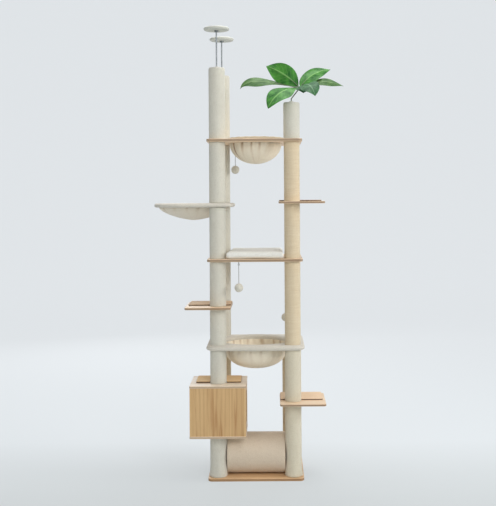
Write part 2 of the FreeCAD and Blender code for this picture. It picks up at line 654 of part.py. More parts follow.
def cushion_ring(half_x, half_y, height):
    """A cushion's outline at one height: round corners, sides drawn in between them."""
    corner = CUSHION_CORNER
    bend = corner * (1 - math.sqrt(0.5))
    edges = []
    for turn in range(4):
        reach, side = (half_x, half_y) if turn % 2 == 0 else (half_y, half_x)
        start = Vector(-reach + corner, -side, height)
        middle = Vector(0, -side + CUSHION_DRAW, height)
        end = Vector(reach - corner, -side, height)
        knee = Vector(reach - bend, -side + bend, height)
        after = Vector(reach, -side + corner, height)
        for points in ((start, middle, end), (end, knee, after)):
            arc = Part.Arc(*points).toShape()
            arc.rotate(Vector(0, 0, height), Vector(0, 0, 1), 90 * turn)
            edges.append(arc)
    return Part.Wire(edges)


def make_cushion():
    """Stuffed pad: flat where it lies on the shelf, full at mid height, crowned on top."""
    left = -REAR_POST_X + PLUSH_RADIUS + CUSHION_GAP
    right = FRONT_POST_X - PLUSH_RADIUS - CUSHION_GAP
    half_x = (right - left) / 2
    half_y = BOARD_DEPTH / 2 - CUSHION_MARGIN
    rings = []
    for share, inset in CUSHION_PROFILE:
        rings.append(cushion_ring(half_x - inset, half_y - inset, MID_SHELF_TOP + share * CUSHION_HEIGHT))
    cushion = Part.makeLoft(rings, True, True)
    cushion.translate(Vector((left + right) / 2, 0, 0))
    return cushion


def make_tunnel():
    """Cardboard tube and plush sleeve, lying across the base between the front posts."""
    half = FRONT_POST_X - PLUSH_RADIUS - TUNNEL_GAP
    outer = TUNNEL_DIAMETER / 2
    tube_outer = outer - TUNNEL_COVER
    start = Vector(-half, TUNNEL_Y, BOARD_THICKNESS + outer)
    along = Vector(1, 0, 0)
    tube = Part.makeCylinder(tube_outer - FIT, 2 * half, start, along)
    tube = tube.cut(Part.makeCylinder(tube_outer - TUNNEL_WALL, 2 * half, start, along))
    cover = Part.makeCylinder(outer, 2 * half, start, along)
    cover = cover.cut(Part.makeCylinder(tube_outer, 2 * half, start, along))
    for place in tunnel_screw_places():
        hole = cylinder(place, 0, BOARD_THICKNESS + outer, SCREW_DIAMETER / 2 + FIT)
        tube = tube.cut(hole)
        cover = cover.cut(hole)
    return tube, cover


def make_ceiling_pad(place):
    """Rod with a flange nut, and the plush covered disc that presses on the ceiling."""
    rod_low = POST_TOPS[place] - ROD_HIDDEN
    rod = cylinder(place, rod_low, PAD_UNDERSIDE_Z + ROD_IN_PAD, ROD_DIAMETER / 2)
    collar = cylinder(place, PAD_UNDERSIDE_Z - PAD_NUT_HEIGHT, PAD_UNDERSIDE_Z, PAD_NUT_DIAMETER / 2)
    rod = rod.fuse(collar).removeSplitter()
    top = PAD_UNDERSIDE_Z + PAD_THICKNESS
    pad = cylinder(place, PAD_UNDERSIDE_Z, top, PAD_DIAMETER / 2)
    pad = pad.makeFillet(PAD_ROUND, outline_edges(pad, PAD_UNDERSIDE_Z, top))
    socket = cylinder(place, PAD_UNDERSIDE_Z - 1, PAD_UNDERSIDE_Z + ROD_IN_PAD, ROD_DIAMETER / 2 + FIT)
    return rod, pad.cut(socket)


def eye_centre(toy):
    x, y, board_low, drop = toy
    return Vector(x, y, board_low - EYE_DROP)


def eye_hole(toy):
    """Blind hole for a screw eye's shank."""
    board_low = toy[2]
    return cylinder(toy, board_low - 1, board_low + EYE_SHANK, EYE_WIRE / 2 + FIT)


def make_eye(toy):
    """Screw eye: a ring across X on a shank in the board."""
    centre = eye_centre(toy)
    ring = Part.makeTorus(EYE_RADIUS, EYE_WIRE / 2, centre, Vector(1, 0, 0))
    return ring.fuse(cylinder(toy, centre.z + EYE_RADIUS, toy[2] + EYE_SHANK, EYE_WIRE / 2))


def make_toy(toy):
    """Cord with a loop through its eye, and the ball on its end."""
    x, y, board_low, drop = toy
    loop_top = eye_centre(toy).z - EYE_RADIUS + EYE_WIRE / 2 + LOOP_WIRE / 2 + RUN
    loop_centre = Vector(x, y, loop_top - LOOP_RADIUS)
    loop = Part.makeTorus(LOOP_RADIUS, LOOP_WIRE / 2, loop_centre, Vector(0, 1, 0))
    ball_centre = Vector(x, y, board_low - drop)
    ball_top = ball_centre.z + BALL_DIAMETER / 2
    cord = cylinder(toy, ball_top - CORD_IN_BALL, loop_centre.z - LOOP_RADIUS, TOY_CORD_DIAMETER / 2)
    ball = Part.makeSphere(BALL_DIAMETER / 2, ball_centre)
    socket = cylinder(toy, ball_top - CORD_IN_BALL, ball_top + 1, TOY_CORD_DIAMETER / 2 + FIT / 2)
    return cord.fuse(loop), ball.cut(socket)


def hub_centre():
    x, y = FRONT_RIGHT
    return Vector(x + STEM_LEAN, y, PLANT_POST_TOP + HUB_HEIGHT)


def make_stem():
    """Stem: upright in its socket, then leaning in one bend to the hub that the leaves spring from."""
    x, y = FRONT_RIGHT
    radius = STEM_DIAMETER / 2
    knee = Vector(x, y, PLANT_POST_TOP + SOCKET_FLANGE + SOCKET_BOSS + STEM_STRAIGHT)
    hub = hub_centre()
    stem = cylinder(FRONT_RIGHT, PLANT_POST_TOP - STEM_IN_SOCKET, knee.z, radius)
    lean = hub - knee
    stem = stem.fuse(Part.makeSphere(radius, knee))
    stem = stem.fuse(Part.makeCylinder(radius, lean.Length, knee, lean))
    return stem.fuse(Part.makeSphere(HUB_RADIUS, hub))


def leaf_section(point, along, side, width):
    """Thin folded strip across a leaf: the edges rise from the midrib."""
    up = side.cross(along)
    up.normalize()
    half = side * (width / 2)
    rise = up * (LEAF_FOLD * width / 2)
    thick = up * LEAF_THICKNESS
    ends = [point - half + rise, point, point + half + rise]
    lower = [end - thick for end in reversed(ends)]
    points = ends + lower
    return Part.makePolygon(points + points[:1])


def make_leaf(compass, pitch_low, pitch_high, stalk, blade, width, roll):
    """A stalk and an arching blade whose pitch changes evenly from the hub to the tip."""
    heading = Vector(math.cos(math.radians(compass)), math.sin(math.radians(compass)), 0)
    across = Vector(-heading.y, heading.x, 0)
    length = stalk + blade
    first = math.radians(pitch_low)
    change = math.radians(pitch_high) - first
    hub = hub_centre()

    def midrib(distance):
        pitch = first + change * distance / length
        run = (math.sin(pitch) - math.sin(first)) * length / change
        rise = (math.cos(first) - math.cos(pitch)) * length / change
        return hub + heading * run + Vector(0, 0, rise), pitch

    sections = []
    stations = [(HUB_RADIUS - STALK_SINK, STEM_DIAMETER / width)]
    for index, share in enumerate(BLADE_SHAPE):
        stations.append((stalk + blade * index / (len(BLADE_SHAPE) - 1), share))
    for distance, share in stations:
        point, pitch = midrib(distance)
        along = heading * math.cos(pitch) + Vector(0, 0, math.sin(pitch))
        side = FreeCAD.Rotation(along, roll).multVec(across)
        sections.append(leaf_section(point, along, side, width * share))
    return Part.makeLoft(sections, True, True)


def make_leaves():
    hub = Part.makeSphere(HUB_RADIUS + FIT, hub_centre())
    return [make_leaf(*leaf).cut(hub) for leaf in LEAVES]


def export(name, solids):
    """Writes one node; a group of like pieces stays a set of separate solids."""
    if isinstance(solids, list):
        solids = Part.makeCompound(solids)
    solids.exportStep(os.path.join("parts", name + ".step"))


def main():
    os.makedirs("parts", exist_ok=True)
    nodes = {"base_board": make_base_board()}
    nodes["post_core_tubes"] = make_tubes()
    nodes["post_end_plugs"] = make_plugs()
    nodes["steel_fasteners"] = make_fasteners()
    nodes["post_top_sockets"] = make_sockets()
    for name, place in (("front_left", FRONT_LEFT), ("front_right", FRONT_RIGHT)):
        for index, cover in enumerate(make_covers(place)):
            nodes["%s_cover_%d" % (name, index + 1)] = cover
    nodes["rear_left_covers"] = make_covers(REAR_LEFT)
    nodes["rear_right_cover"] = make_covers(REAR_RIGHT)

    nodes["top_shelf_board"] = make_top_shelf()
    nodes["mid_shelf_board"] = make_shelf(MID_SHELF_Z, ("middle", "lower"))
    nodes["mid_cushion"] = make_cushion()
    nodes["top_bowl"], nodes["top_bowl_hoop"] = make_top_bowl()

    four = (FRONT_LEFT, FRONT_RIGHT, REAR_LEFT, REAR_RIGHT)
    board, cover = make_hammock(False, LOWER_HAMMOCK_Z, 0, LOWER_BOWL_RADIUS, LOWER_BOWL_RADIUS, four)
    nodes["lower_hammock_board"] = board
    nodes["lower_hammock_cover"] = cover
    nodes["lower_bowl"] = make_hammock_bowl(0, LOWER_HAMMOCK_Z, LOWER_BOWL_RADIUS, LOWER_BOWL_RADIUS,
                                            LOWER_BOWL_DEPTH, LOWER_BOWL_FULLNESS)
    board, cover = make_hammock(True, SIDE_HAMMOCK_Z, SIDE_BOWL_X, SIDE_BOWL_RADIUS_X, SIDE_BOWL_RADIUS_Y,
                                (FRONT_LEFT, REAR_LEFT))
    nodes["side_hammock_board"] = board
    nodes["side_hammock_cover"] = cover
    nodes["side_bowl"] = make_hammock_bowl(SIDE_BOWL_X, SIDE_HAMMOCK_Z, SIDE_BOWL_RADIUS_X,
                                           SIDE_BOWL_RADIUS_Y, SIDE_BOWL_DEPTH, SIDE_BOWL_FULLNESS)

    for name, side, crossing in (("left_step", -1, LEFT_STEP), ("lower_right_step", 1, LOWER_RIGHT_STEP),
                                 ("upper_right_step", 1, UPPER_RIGHT_STEP)):
        nodes[name + "_board"] = make_step(side, crossing)
        nodes[name + "_mat"] = make_step_mat(side, crossing)

    panels, nodes["box_dowels"] = make_box()
    nodes.update(panels)
    nodes["box_roof_mat"] = make_roof_mat()
    nodes["tunnel_tube"], nodes["tunnel_cover"] = make_tunnel()
    nodes["front_ceiling_rod"], nodes["front_ceiling_pad"] = make_ceiling_pad(FRONT_LEFT)
    nodes["rear_ceiling_rod"], nodes["rear_ceiling_pad"] = make_ceiling_pad(REAR_LEFT)

    nodes["toy_eyes"] = [make_eye(toy) for toy in TOYS.values()]
    for name, toy in TOYS.items():
        nodes[name + "_toy_cord"], nodes[name + "_toy_ball"] = make_toy(toy)
    nodes["plant_stem"] = make_stem()
    nodes["plant_leaves"] = make_leaves()

    for name, solids in nodes.items():
        export(name, solids)


main()
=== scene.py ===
import math

import bpy
from mathutils import Matrix, Vector, noise


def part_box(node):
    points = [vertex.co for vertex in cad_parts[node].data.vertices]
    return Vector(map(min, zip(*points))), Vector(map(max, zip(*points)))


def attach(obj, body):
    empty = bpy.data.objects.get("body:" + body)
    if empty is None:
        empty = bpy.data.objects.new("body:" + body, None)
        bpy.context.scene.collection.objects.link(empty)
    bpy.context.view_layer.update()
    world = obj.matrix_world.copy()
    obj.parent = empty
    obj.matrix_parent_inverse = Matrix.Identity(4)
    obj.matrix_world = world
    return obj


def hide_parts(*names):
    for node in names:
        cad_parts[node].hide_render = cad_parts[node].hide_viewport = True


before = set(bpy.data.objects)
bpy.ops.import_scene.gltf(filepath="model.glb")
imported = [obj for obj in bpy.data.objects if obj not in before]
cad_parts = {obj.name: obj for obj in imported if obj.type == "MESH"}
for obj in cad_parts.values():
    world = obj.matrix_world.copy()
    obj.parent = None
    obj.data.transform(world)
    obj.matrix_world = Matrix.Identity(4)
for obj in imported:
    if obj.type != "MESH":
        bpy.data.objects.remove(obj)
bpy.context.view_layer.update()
MM = 0.001


def middle_of(solid):
    """The middle of a CAD node's box."""
    low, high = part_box(solid)
    return (low + high) / 2


# Post axes and radii
FRONT_LEFT = middle_of("front_left_cover_1")
FRONT_RIGHT = middle_of("front_right_cover_1")
REAR_LEFT = middle_of("rear_left_covers")
REAR_RIGHT = middle_of("rear_right_cover")
cover_low, cover_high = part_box("front_left_cover_1")
PLUSH_RADIUS = (cover_high.x - cover_low.x) / 2
SISAL_RADIUS = PLUSH_RADIUS - 1.5 * MM
TUBE_RADIUS = 38.2 * MM
HAIR = 0.1 * MM   # gap between a soft piece and what it rests against

# Camera: the photograph's viewing place, in metres, pixels and degrees
PHOTO_WIDTH = 496
PHOTO_HEIGHT = 506
FOCAL_PIXELS = 949
SENSOR = 36.0
CAMERA_PLACE = (0.090, -5.340, 1.514)
PRINCIPAL_X = 271.2
HORIZON_Y = 200.0
CAMERA_ROLL = 0.36


# Shader steps

def srgb(red, green, blue):
    """A colour from 0 to 255 as the linear colour that a shader takes."""
    linear = []
    for value in (red, green, blue):
        share = value / 255
        linear.append(share / 12.92 if share <= 0.04045 else ((share + 0.055) / 1.055) ** 2.4)
    return (*linear, 1.0)


def darkened(colour, share):
    """A share of a colour's light."""
    return tuple(share * value for value in srgb(*colour)[:3]) + (1.0,)


def feed(tree, socket, value):
    """Gives a socket a link from another socket, or a plain value."""
    if hasattr(value, "is_linked"):
        tree.links.new(value, socket)
    else:
        socket.default_value = value


def fill(tree, inputs, **values):
    """Feeds inputs by their names, in which an underscore stands for a space."""
    for label, value in values.items():
        feed(tree, inputs[label.replace("_", " ")], value)


def node(tree, kind, inputs=None, **settings):
    """A shader node with its settings, and its inputs fed with sockets or plain values."""
    made = tree.nodes.new("ShaderNode" + kind)
    for name, value in settings.items():
        setattr(made, name, value)
    for name, value in (inputs or {}).items():
        feed(tree, made.inputs[name], value)
    return made


def calc(tree, operation, first, second=0.0):
    """One step of arithmetic on sockets or plain values."""
    return node(tree, "Math", {0: first, 1: second}, operation=operation).outputs[0]


def summed(tree, *parts):
    """The sum of (value, weight) parts."""
    shares = [calc(tree, "MULTIPLY", value, weight) for value, weight in parts]
    total = shares[0]
    for share in shares[1:]:
        total = calc(tree, "ADD", total, share)
    return total


def mix(tree, share, first, second, blend="MIX"):
    """Mixes two colours; each of the three may be a socket or a plain value."""
    inputs = {0: share, 6: first, 7: second}
    return node(tree, "Mix", inputs, data_type="RGBA", blend_type=blend).outputs[2]


def ramp(tree, source, stops):
    """Maps a value through (place, tone) stops, where a tone is a grey or a colour."""
    made = node(tree, "ValToRGB", {"Fac": source})
    band = made.color_ramp
    while len(band.elements) < len(stops):
        band.elements.new(0.5)
    for element, (place, tone) in zip(band.elements, stops):
        element.position = place
        element.color = tone if isinstance(tone, tuple) else (tone, tone, tone, 1)
    return made.outputs["Color"]


def axes(tree, vector):
    """The X, Y and Z of a vector."""
    return node(tree, "SeparateXYZ", {0: vector}).outputs


def stretched(tree, vector, scale):
    """A vector scaled along its axes, which draws a pattern out where the scale is small."""
    return node(tree, "VectorMath", {0: vector, 1: scale}, operation="MULTIPLY").outputs[0]


def texture(tree, kind, vector, inputs, output="Fac", **settings):
    """One output of a texture that is laid out by a vector."""
    return node(tree, "Tex" + kind, {"Vector": vector, **inputs}, **settings).outputs[output]


# Shared shader effects

def effect(name, colours, values, outputs):
    """A shader group that takes a vector, colours and values, each value with its default.
    It comes with its input and output sockets."""
    group = bpy.data.node_groups.new(name, "ShaderNodeTree")
    add = group.interface.new_socket
    add("Vector", in_out="INPUT", socket_type="NodeSocketVector")
    for label in colours:
        add(label, in_out="INPUT", socket_type="NodeSocketColor")
    for label, default in values.items():
        socket = add(label, in_out="INPUT", socket_type="NodeSocketFloat")
        socket.default_value = default
    for label in outputs:
        add(label, in_out="OUTPUT", socket_type="NodeSocketColor")
    given = group.nodes.new("NodeGroupInput")
    result = group.nodes.new("NodeGroupOutput")
    return group, given.outputs, result.inputs


def make_grain_effect():
    """Glued pine planks: grain along the vector's X, planks side by side along Y, each with its own tone."""
    group, given, result = effect("pine planks", ("Pale", "Dark"), {"Plank": 0.06, "Rings": 30.0},
                                  ("Color", "Roughness", "Height"))
    vector = given["Vector"]
    place = calc(group, "DIVIDE", axes(group, vector)["Y"], given["Plank"])
    plank = node(group, "TexWhiteNoise", {"W": calc(group, "FLOOR", place)}, noise_dimensions="1D").outputs

    def on_plank(scale):
        """A stretched vector that starts at a different place on every plank."""
        inputs = {0: stretched(group, vector, scale), 1: plank["Color"]}
        return node(group, "VectorMath", inputs, operation="ADD").outputs[0]

    board = on_plank((0.045, 1.0, 0.6))
    rings = texture(group, "Wave", board, {"Scale": given["Rings"], "Distortion": 9.0, "Detail": 3.0,
                                           "Detail Scale": 1.6}, bands_direction="Y")
    drift = texture(group, "Noise", board, {"Scale": 42.0, "Detail": 4.0, "Roughness": 0.6})
    heart = texture(group, "Noise", on_plank((0.05, 1.0, 0.6)),
                    {"Scale": 17.0, "Detail": 2.0, "Distortion": 0.25})
    pores = texture(group, "Noise", stretched(group, vector, (0.04, 1.0, 1.0)),
                    {"Scale": 520.0, "Detail": 3.0})
    late_wood = ramp(group, rings, ((0.55, 0.0), (0.86, 0.45), (0.96, 1.0), (1.0, 0.4)))
    pore_lines = ramp(group, pores, ((0.42, 0.0), (0.72, 1.0)))
    streaks = ramp(group, drift, ((0.34, 0.0), (0.68, 1.0)))
    heart_streaks = ramp(group, heart, ((0.55, 0.0), (0.575, 0.8), (0.59, 1.0), (0.62, 0.1)))
    amount = summed(group, (late_wood, 0.3), (pore_lines, 0.14), (streaks, 0.26), (heart_streaks, 0.4),
                    (plank["Value"], 0.4))
    from_middle = calc(group, "ABSOLUTE", calc(group, "SUBTRACT", calc(group, "FRACT", place), 0.5))
    glue_line = calc(group, "MULTIPLY", calc(group, "GREATER_THAN", from_middle, 0.494), 0.55)
    wood = mix(group, amount, given["Pale"], given["Dark"])
    fill(group, result, Color=mix(group, glue_line, wood, given["Dark"]),
         Roughness=ramp(group, amount, ((0.0, 0.42), (1.0, 0.62))), Height=pores)
    return group


def make_nap_effect():
    """Short plush: single fibres and tufts that lie different ways, with painted shade at the foot of the
    fibres, between tufts and in broad patches.
    """
    group, given, result = effect("plush nap", ("Pale", "Deep"), {"Fibre": 900.0}, ("Color", "Height"))
    vector = given["Vector"]
    fibre = texture(group, "Noise", vector, {"Scale": given["Fibre"], "Detail": 2.0, "Roughness": 0.7})
    tuft = texture(group, "Voronoi", vector, {"Scale": 190.0}, "Distance", feature="SMOOTH_F1")
    lie = texture(group, "Noise", vector, {"Scale": 26.0, "Detail": 3.0})
    tufts = ramp(group, tuft, ((0.1, 0.0), (0.75, 1.0)))
    root_shade = ramp(group, fibre, ((0.3, 1.0), (0.7, 0.0)))
    # Painted shade: the deep colour goes where the pile is low, at the foot of the fibres and between tufts,
    # and in broad patches where the pile lies different ways.
    amount = summed(group, (root_shade, 0.4), (tufts, 0.35), (lie, 0.3))
    height = calc(group, "SUBTRACT", fibre, calc(group, "MULTIPLY", tufts, 0.6))
    fill(group, result, Color=mix(group, amount, given["Pale"], given["Deep"]), Height=height)
    return group


def make_weave_effect():
    """Plain weave on the vector's X and Y: warp and weft pass over each other in turn, in uneven yarn."""
    group, given, result = effect("plain weave", ("Pale", "Deep"), {"Threads": 700.0}, ("Color", "Height"))
    yarn = texture(group, "Noise", given["Vector"], {"Scale": 60.0, "Detail": 4.0})
    place = axes(group, given["Vector"])
    waves = []
    for direction in ("X", "Y"):
        turn = calc(group, "MULTIPLY", place[direction], given["Threads"])
        waves.append(calc(group, "SINE", calc(group, "MULTIPLY", turn, math.pi)))
    over = calc(group, "GREATER_THAN", calc(group, "MULTIPLY", *waves), 0.0)
    warp = calc(group, "MULTIPLY", calc(group, "ABSOLUTE", waves[0]), over)
    weft = calc(group, "MULTIPLY", calc(group, "ABSOLUTE", waves[1]), calc(group, "SUBTRACT", 1.0, over))
    height = calc(group, "ADD", warp, weft)
    # Darker where the weave is low: painted shade between the threads, mixed with the yarn's own uneven tone.
    amount = summed(group, (calc(group, "SUBTRACT", 1.0, height), 0.4), (yarn, 0.5))
    fill(group, result, Color=mix(group, amount, given["Pale"], given["Deep"]), Height=height)
    return group


GRAIN = make_grain_effect()
NAP = make_nap_effect()
WEAVE = make_weave_effect()


# Materials

PINE_RINGS = 14.0   # scale of the year rings across a board


def material(name, **values):
    """A new material, its tree and its main shader's inputs, some of them with plain values."""
    made = bpy.data.materials.new(name)
    made.use_nodes = True
    tree = made.node_tree
    shader = tree.nodes["Principled BSDF"].inputs
    fill(tree, shader, **values)
    return made, tree, shader


def placed(tree, turn=(0, 0, 0)):
    """Object coordinates, turned in degrees."""
    place = node(tree, "TexCoord").outputs["Object"]
    rotation = [math.radians(angle) for angle in turn]
    return node(tree, "Mapping", {"Vector": place, "Rotation": rotation}).outputs["Vector"]


def mapped(tree, name):
    """A piece's own map, which follows its surface."""
    return node(tree, "UVMap", uv_map=name).outputs["UV"]


def painted_hollow_shade(tree):
    """How deep a point lies in a fold or hollow, from 0 to 1, as shade() keeps it; the finish paints it as
    shade.
    """
    return node(tree, "Attribute", attribute_name="fold").outputs["Fac"]


def edge_mask(tree):
    """1 on upright faces of a flat board, 0 on its top and underside."""
    upward = axes(tree, node(tree, "TexCoord").outputs["Normal"])["Z"]
    return calc(tree, "LESS_THAN", calc(tree, "ABSOLUTE", upward), 0.4)


def use(tree, group, vector, **values):
    """Places a shared effect in a material and gives its outputs."""
    made = node(tree, "Group", node_tree=group)
    fill(tree, made.inputs, Vector=vector, **values)
    return made.outputs


def bump(tree, height, strength, depth):
    """The normal of a surface with fine relief."""
    inputs = {"Strength": strength, "Distance": depth, "Height": height}
    return node(tree, "Bump", inputs).outputs["Normal"]


def pine(name, pale, dark, turn=(0, 0, 0), plank=0.06, edge=None):
    """Lacquered pine; edge is the tint of a board's cut edges."""
    made, tree, shader = material(name, Coat_Weight=0.12, Coat_Roughness=0.3)
    grain = use(tree, GRAIN, placed(tree, turn), Pale=srgb(*pale), Dark=srgb(*dark), Rings=PINE_RINGS,
                Plank=plank)
    colour = grain["Color"]
    if edge:
        tinted = mix(tree, 1.0, colour, srgb(*edge), "MULTIPLY")
        colour = mix(tree, edge_mask(tree), colour, tinted)
    fill(tree, shader, Base_Color=colour, Roughness=grain["Roughness"],
         Normal=bump(tree, grain["Height"], strength=0.12, depth=0.6 * MM))
    return made


def plush(name, pale, deep, fibre=900.0, depth=1.6 * MM):
    """Plush or felt; fibre is how fine its pile is, depth how far it stands up."""
    made, tree, shader = material(name, Roughness=0.95, Sheen_Weight=0.3, Sheen_Roughness=0.55)
    pile = use(tree, NAP, placed(tree), Pale=srgb(*pale), Deep=srgb(*deep), Fibre=fibre)
    fill(tree, shader, Base_Color=pile["Color"], Normal=bump(tree, pile["Height"], 0.7, depth))
    return made


def cloth(name, pale, deep, threads=700.0, edge=None, hollow=None):
    """Woven cloth; edge colours a mat's upright rim, a dark binding with painted shade on its front, and
    hollow is painted shade in the bottoms of a bowl's gathered folds.
    A bowl's weave follows the bowl's own map."""
    made, tree, shader = material(name, Roughness=0.9, Sheen_Weight=0.15, Sheen_Roughness=0.5)
    place = mapped(tree, "cloth") if hollow else placed(tree)
    weave = use(tree, WEAVE, place, Pale=srgb(*pale), Deep=srgb(*deep), Threads=threads)
    colour = weave["Color"]
    # A mat's rim: its dark binding, with painted shade on the rim's front.
    if edge:
        colour = mix(tree, edge_mask(tree), colour, mix(tree, 0.94, colour, srgb(*edge)))
    # Painted shade in the bottoms of a bowl's folds.
    if hollow:
        colour = mix(tree, painted_hollow_shade(tree), colour, srgb(*hollow))
    fill(tree, shader, Base_Color=colour, Normal=bump(tree, weave["Height"], strength=0.4, depth=0.6 * MM))
    return made


def sisal(name, pale, deep):
    """Sisal rope: fibres and darker yarn along its run, with painted shade between the strands and between
    the turns.
    """
    made, tree, shader = material(name, Roughness=0.9, Sheen_Weight=0.12, Sheen_Roughness=0.5)
    run = stretched(tree, mapped(tree, "rope"), (1.0, 7.0, 1.0))
    fibre = texture(tree, "Noise", run, {"Scale": 230.0, "Detail": 4.0, "Roughness": 0.65})
    yarn = texture(tree, "Noise", run, {"Scale": 9.0, "Detail": 3.0})
    amount = summed(tree, (fibre, 0.55), (yarn, 0.4), (painted_hollow_shade(tree), 0.5))
    tone_and_shade = ramp(tree, amount, ((0.3, 0.0), (0.95, 1.0)))
    fill(tree, shader, Base_Color=mix(tree, tone_and_shade, srgb(*pale), srgb(*deep)),
         Normal=bump(tree, fibre, strength=0.5, depth=0.6 * MM))
    return made


def steel(name, colour, rough):
    """Drawn steel: fine lines along the rod and patches of duller plating."""
    made, tree, shader = material(name, Metallic=1.0)
    place = placed(tree)
    lines = texture(tree, "Noise", stretched(tree, place, (1.0, 1.0, 0.03)), {"Scale": 1500.0, "Detail": 2.0})
    dull = texture(tree, "Noise", place, {"Scale": 60.0, "Detail": 3.0})
    fill(tree, shader, Base_Color=mix(tree, dull, srgb(*colour), darkened(colour, 0.72)),
         Roughness=ramp(tree, lines, ((0.3, rough - 0.08), (0.7, rough + 0.1))),
         Normal=bump(tree, lines, strength=0.08, depth=0.3 * MM))
    return made


def plastic(name, colour, rough):
    """Moulded plastic with a fine speckle."""
    made, tree, shader = material(name)
    speck = texture(tree, "Noise", placed(tree), {"Scale": 700.0, "Detail": 2.0})
    fill(tree, shader, Base_Color=mix(tree, speck, srgb(*colour), darkened(colour, 0.9)),
         Roughness=ramp(tree, speck, ((0.3, rough - 0.06), (0.7, rough + 0.06))),
         Normal=bump(tree, speck, strength=0.1, depth=0.3 * MM))
    return made


def kraft(name):
    """Wound paper: the spiral joint of the strip and short pulp fibres."""
    made, tree, shader = material(name, Roughness=0.85)
    place = placed(tree)
    joint = texture(tree, "Wave", place, {"Scale": 4.0, "Distortion": 0.3}, bands_direction="DIAGONAL")
    pulp = texture(tree, "Noise", place, {"Scale": 260.0, "Detail": 4.0})
    paper = mix(tree, pulp, srgb(178, 142, 100), srgb(150, 114, 76))
    seam = ramp(tree, joint, ((0.0, 1.0), (0.03, 0.0)))
    fill(tree, shader, Base_Color=mix(tree, seam, paper, srgb(110, 82, 52)),
         Normal=bump(tree, pulp, strength=0.25, depth=0.4 * MM))
    return made


def leaf_finish(name, fresh, deep, rib):
    """Artificial leaf: pale midrib and side veins on the leaf's own map, u across and v from stalk to tip."""
    made, tree, shader = material(name, Specular_IOR_Level=0.22)
    on_leaf = axes(tree, mapped(tree, "leaf"))
    across = calc(tree, "ABSOLUTE", calc(tree, "SUBTRACT", on_leaf["X"], 0.5))
    slant = calc(tree, "SUBTRACT", on_leaf["Y"], calc(tree, "MULTIPLY", across, 0.55))
    vein = calc(tree, "ABSOLUTE", calc(tree, "SINE", calc(tree, "MULTIPLY", slant, 26.0)))
    veins = ramp(tree, vein, ((0.0, 0.75), (0.16, 0.0)))
    midrib = ramp(tree, across, ((0.012, 1.0), (0.05, 0.0)))
    lines = calc(tree, "MAXIMUM", veins, midrib)
    place = placed(tree)
    tone = texture(tree, "Noise", place, {"Scale": 24.0, "Detail": 4.0})
    fine = texture(tree, "Noise", place, {"Scale": 320.0, "Detail": 2.0})
    blade = mix(tree, ramp(tree, tone, ((0.35, 0.0), (0.68, 1.0))), srgb(*fresh), srgb(*deep))
    blade = mix(tree, calc(tree, "MULTIPLY", fine, 0.25), blade, srgb(*deep))
    fill(tree, shader, Base_Color=mix(tree, calc(tree, "MULTIPLY", lines, 0.7), blade, srgb(*rib)),
         Roughness=ramp(tree, tone, ((0.3, 0.42), (0.7, 0.6))),
         Normal=bump(tree, lines, strength=0.5, depth=1.2 * MM))
    return made


BOARD_PINE = pine("board pine", (240, 216, 186), (216, 180, 140), edge=(172, 166, 160))
# The base: the board pine made browner and darker, painted shade and warm bounced light under the tunnel.
SHADED_BASE_PINE = pine("shaded base pine", (232, 196, 152), (204, 160, 114), edge=(190, 178, 164))
BOX_FRONT_PINE = pine("box front pine", (212, 177, 126), (166, 118, 67), turn=(90, 0, 90), plank=0.13)
BOX_SIDE_PINE = pine("box side pine", (212, 177, 126), (166, 118, 67), turn=(0, 90, 0), plank=0.13)
BOX_LID_PINE = pine("box lid pine", (240, 226, 206), (224, 200, 172), edge=(204, 194, 182))
HIDDEN_PINE = pine("plug wood", (200, 166, 122), (160, 122, 80))
POST_PLUSH = plush("post plush", (221, 218, 205), (195, 190, 174))
WARM_PLUSH = plush("warm plush", (224, 216, 195), (199, 189, 164))
FRAME_PLUSH = plush("hammock plush", (223, 217, 204), (195, 188, 173))
TUNNEL_PLUSH = plush("tunnel plush", (225, 210, 189), (200, 181, 157))
CUSHION_PLUSH = plush("cushion plush", (244, 243, 236), (222, 219, 209), fibre=700.0, depth=2.5 * MM)
PAD_FELT = plush("pad felt", (210, 211, 201), (186, 186, 175), fibre=1200.0, depth=0.8 * MM)
BALL_PLUSH = plush("ball plush", (234, 231, 218), (208, 203, 188), fibre=520.0, depth=3 * MM)
SISAL = sisal("sisal", (238, 227, 202), (194, 169, 128))
# hollow is the colour of the painted shade in the bottoms of the bowls' folds, paler on the side bowl.
BOWL_CLOTH = cloth("bowl cloth", (246, 237, 218), (230, 217, 192), hollow=(166, 130, 88))
SOFT_BOWL_CLOTH = cloth("side bowl cloth", (240, 231, 214), (226, 213, 192), hollow=(198, 174, 140))
HEM_CLOTH = cloth("hem cloth", (205, 191, 167), (183, 167, 140))
# edge (54, 32, 20) is the mats' dark rim, partly a dark binding and partly painted shade.
MAT_CLOTH = cloth("mat cloth", (240, 210, 176), (222, 186, 146), threads=420.0, edge=(54, 32, 20))
# The roof mat's cloth: a little more orange than the step mats', and lighter to make up for the shade on the
# box roof, as painted light.
BRIGHTENED_ROOF_MAT_CLOTH = cloth("brightened roof mat cloth", (250, 213, 158), (233, 188, 127), threads=420.0, edge=(54, 32, 20))
TOY_CORD = cloth("toy cord", (112, 104, 92), (74, 67, 57), threads=900.0)
ROD_STEEL = steel("rod steel", (132, 136, 138), 0.36)
ZINC = steel("zinc plate", (168, 170, 170), 0.4)
EYE_STEEL = steel("eye steel", (58, 52, 46), 0.42)
SOCKET_PLASTIC = plastic("socket plastic", (216, 212, 202), 0.5)
STEM_PLASTIC = plastic("stem plastic", (92, 98, 78), 0.55)
KRAFT = kraft("kraft paper")
LEAF_GREEN = leaf_finish("leaf green", (74, 141, 50), (30, 89, 31), (132, 181, 102))
LEAF_DULL = leaf_finish("leaf dull", (85, 122, 58), (38, 78, 34), (134, 161, 107))
LEAF_DARK = leaf_finish("leaf dark", (60, 112, 64), (26, 70, 40), (116, 154, 116))


# Modelling steps

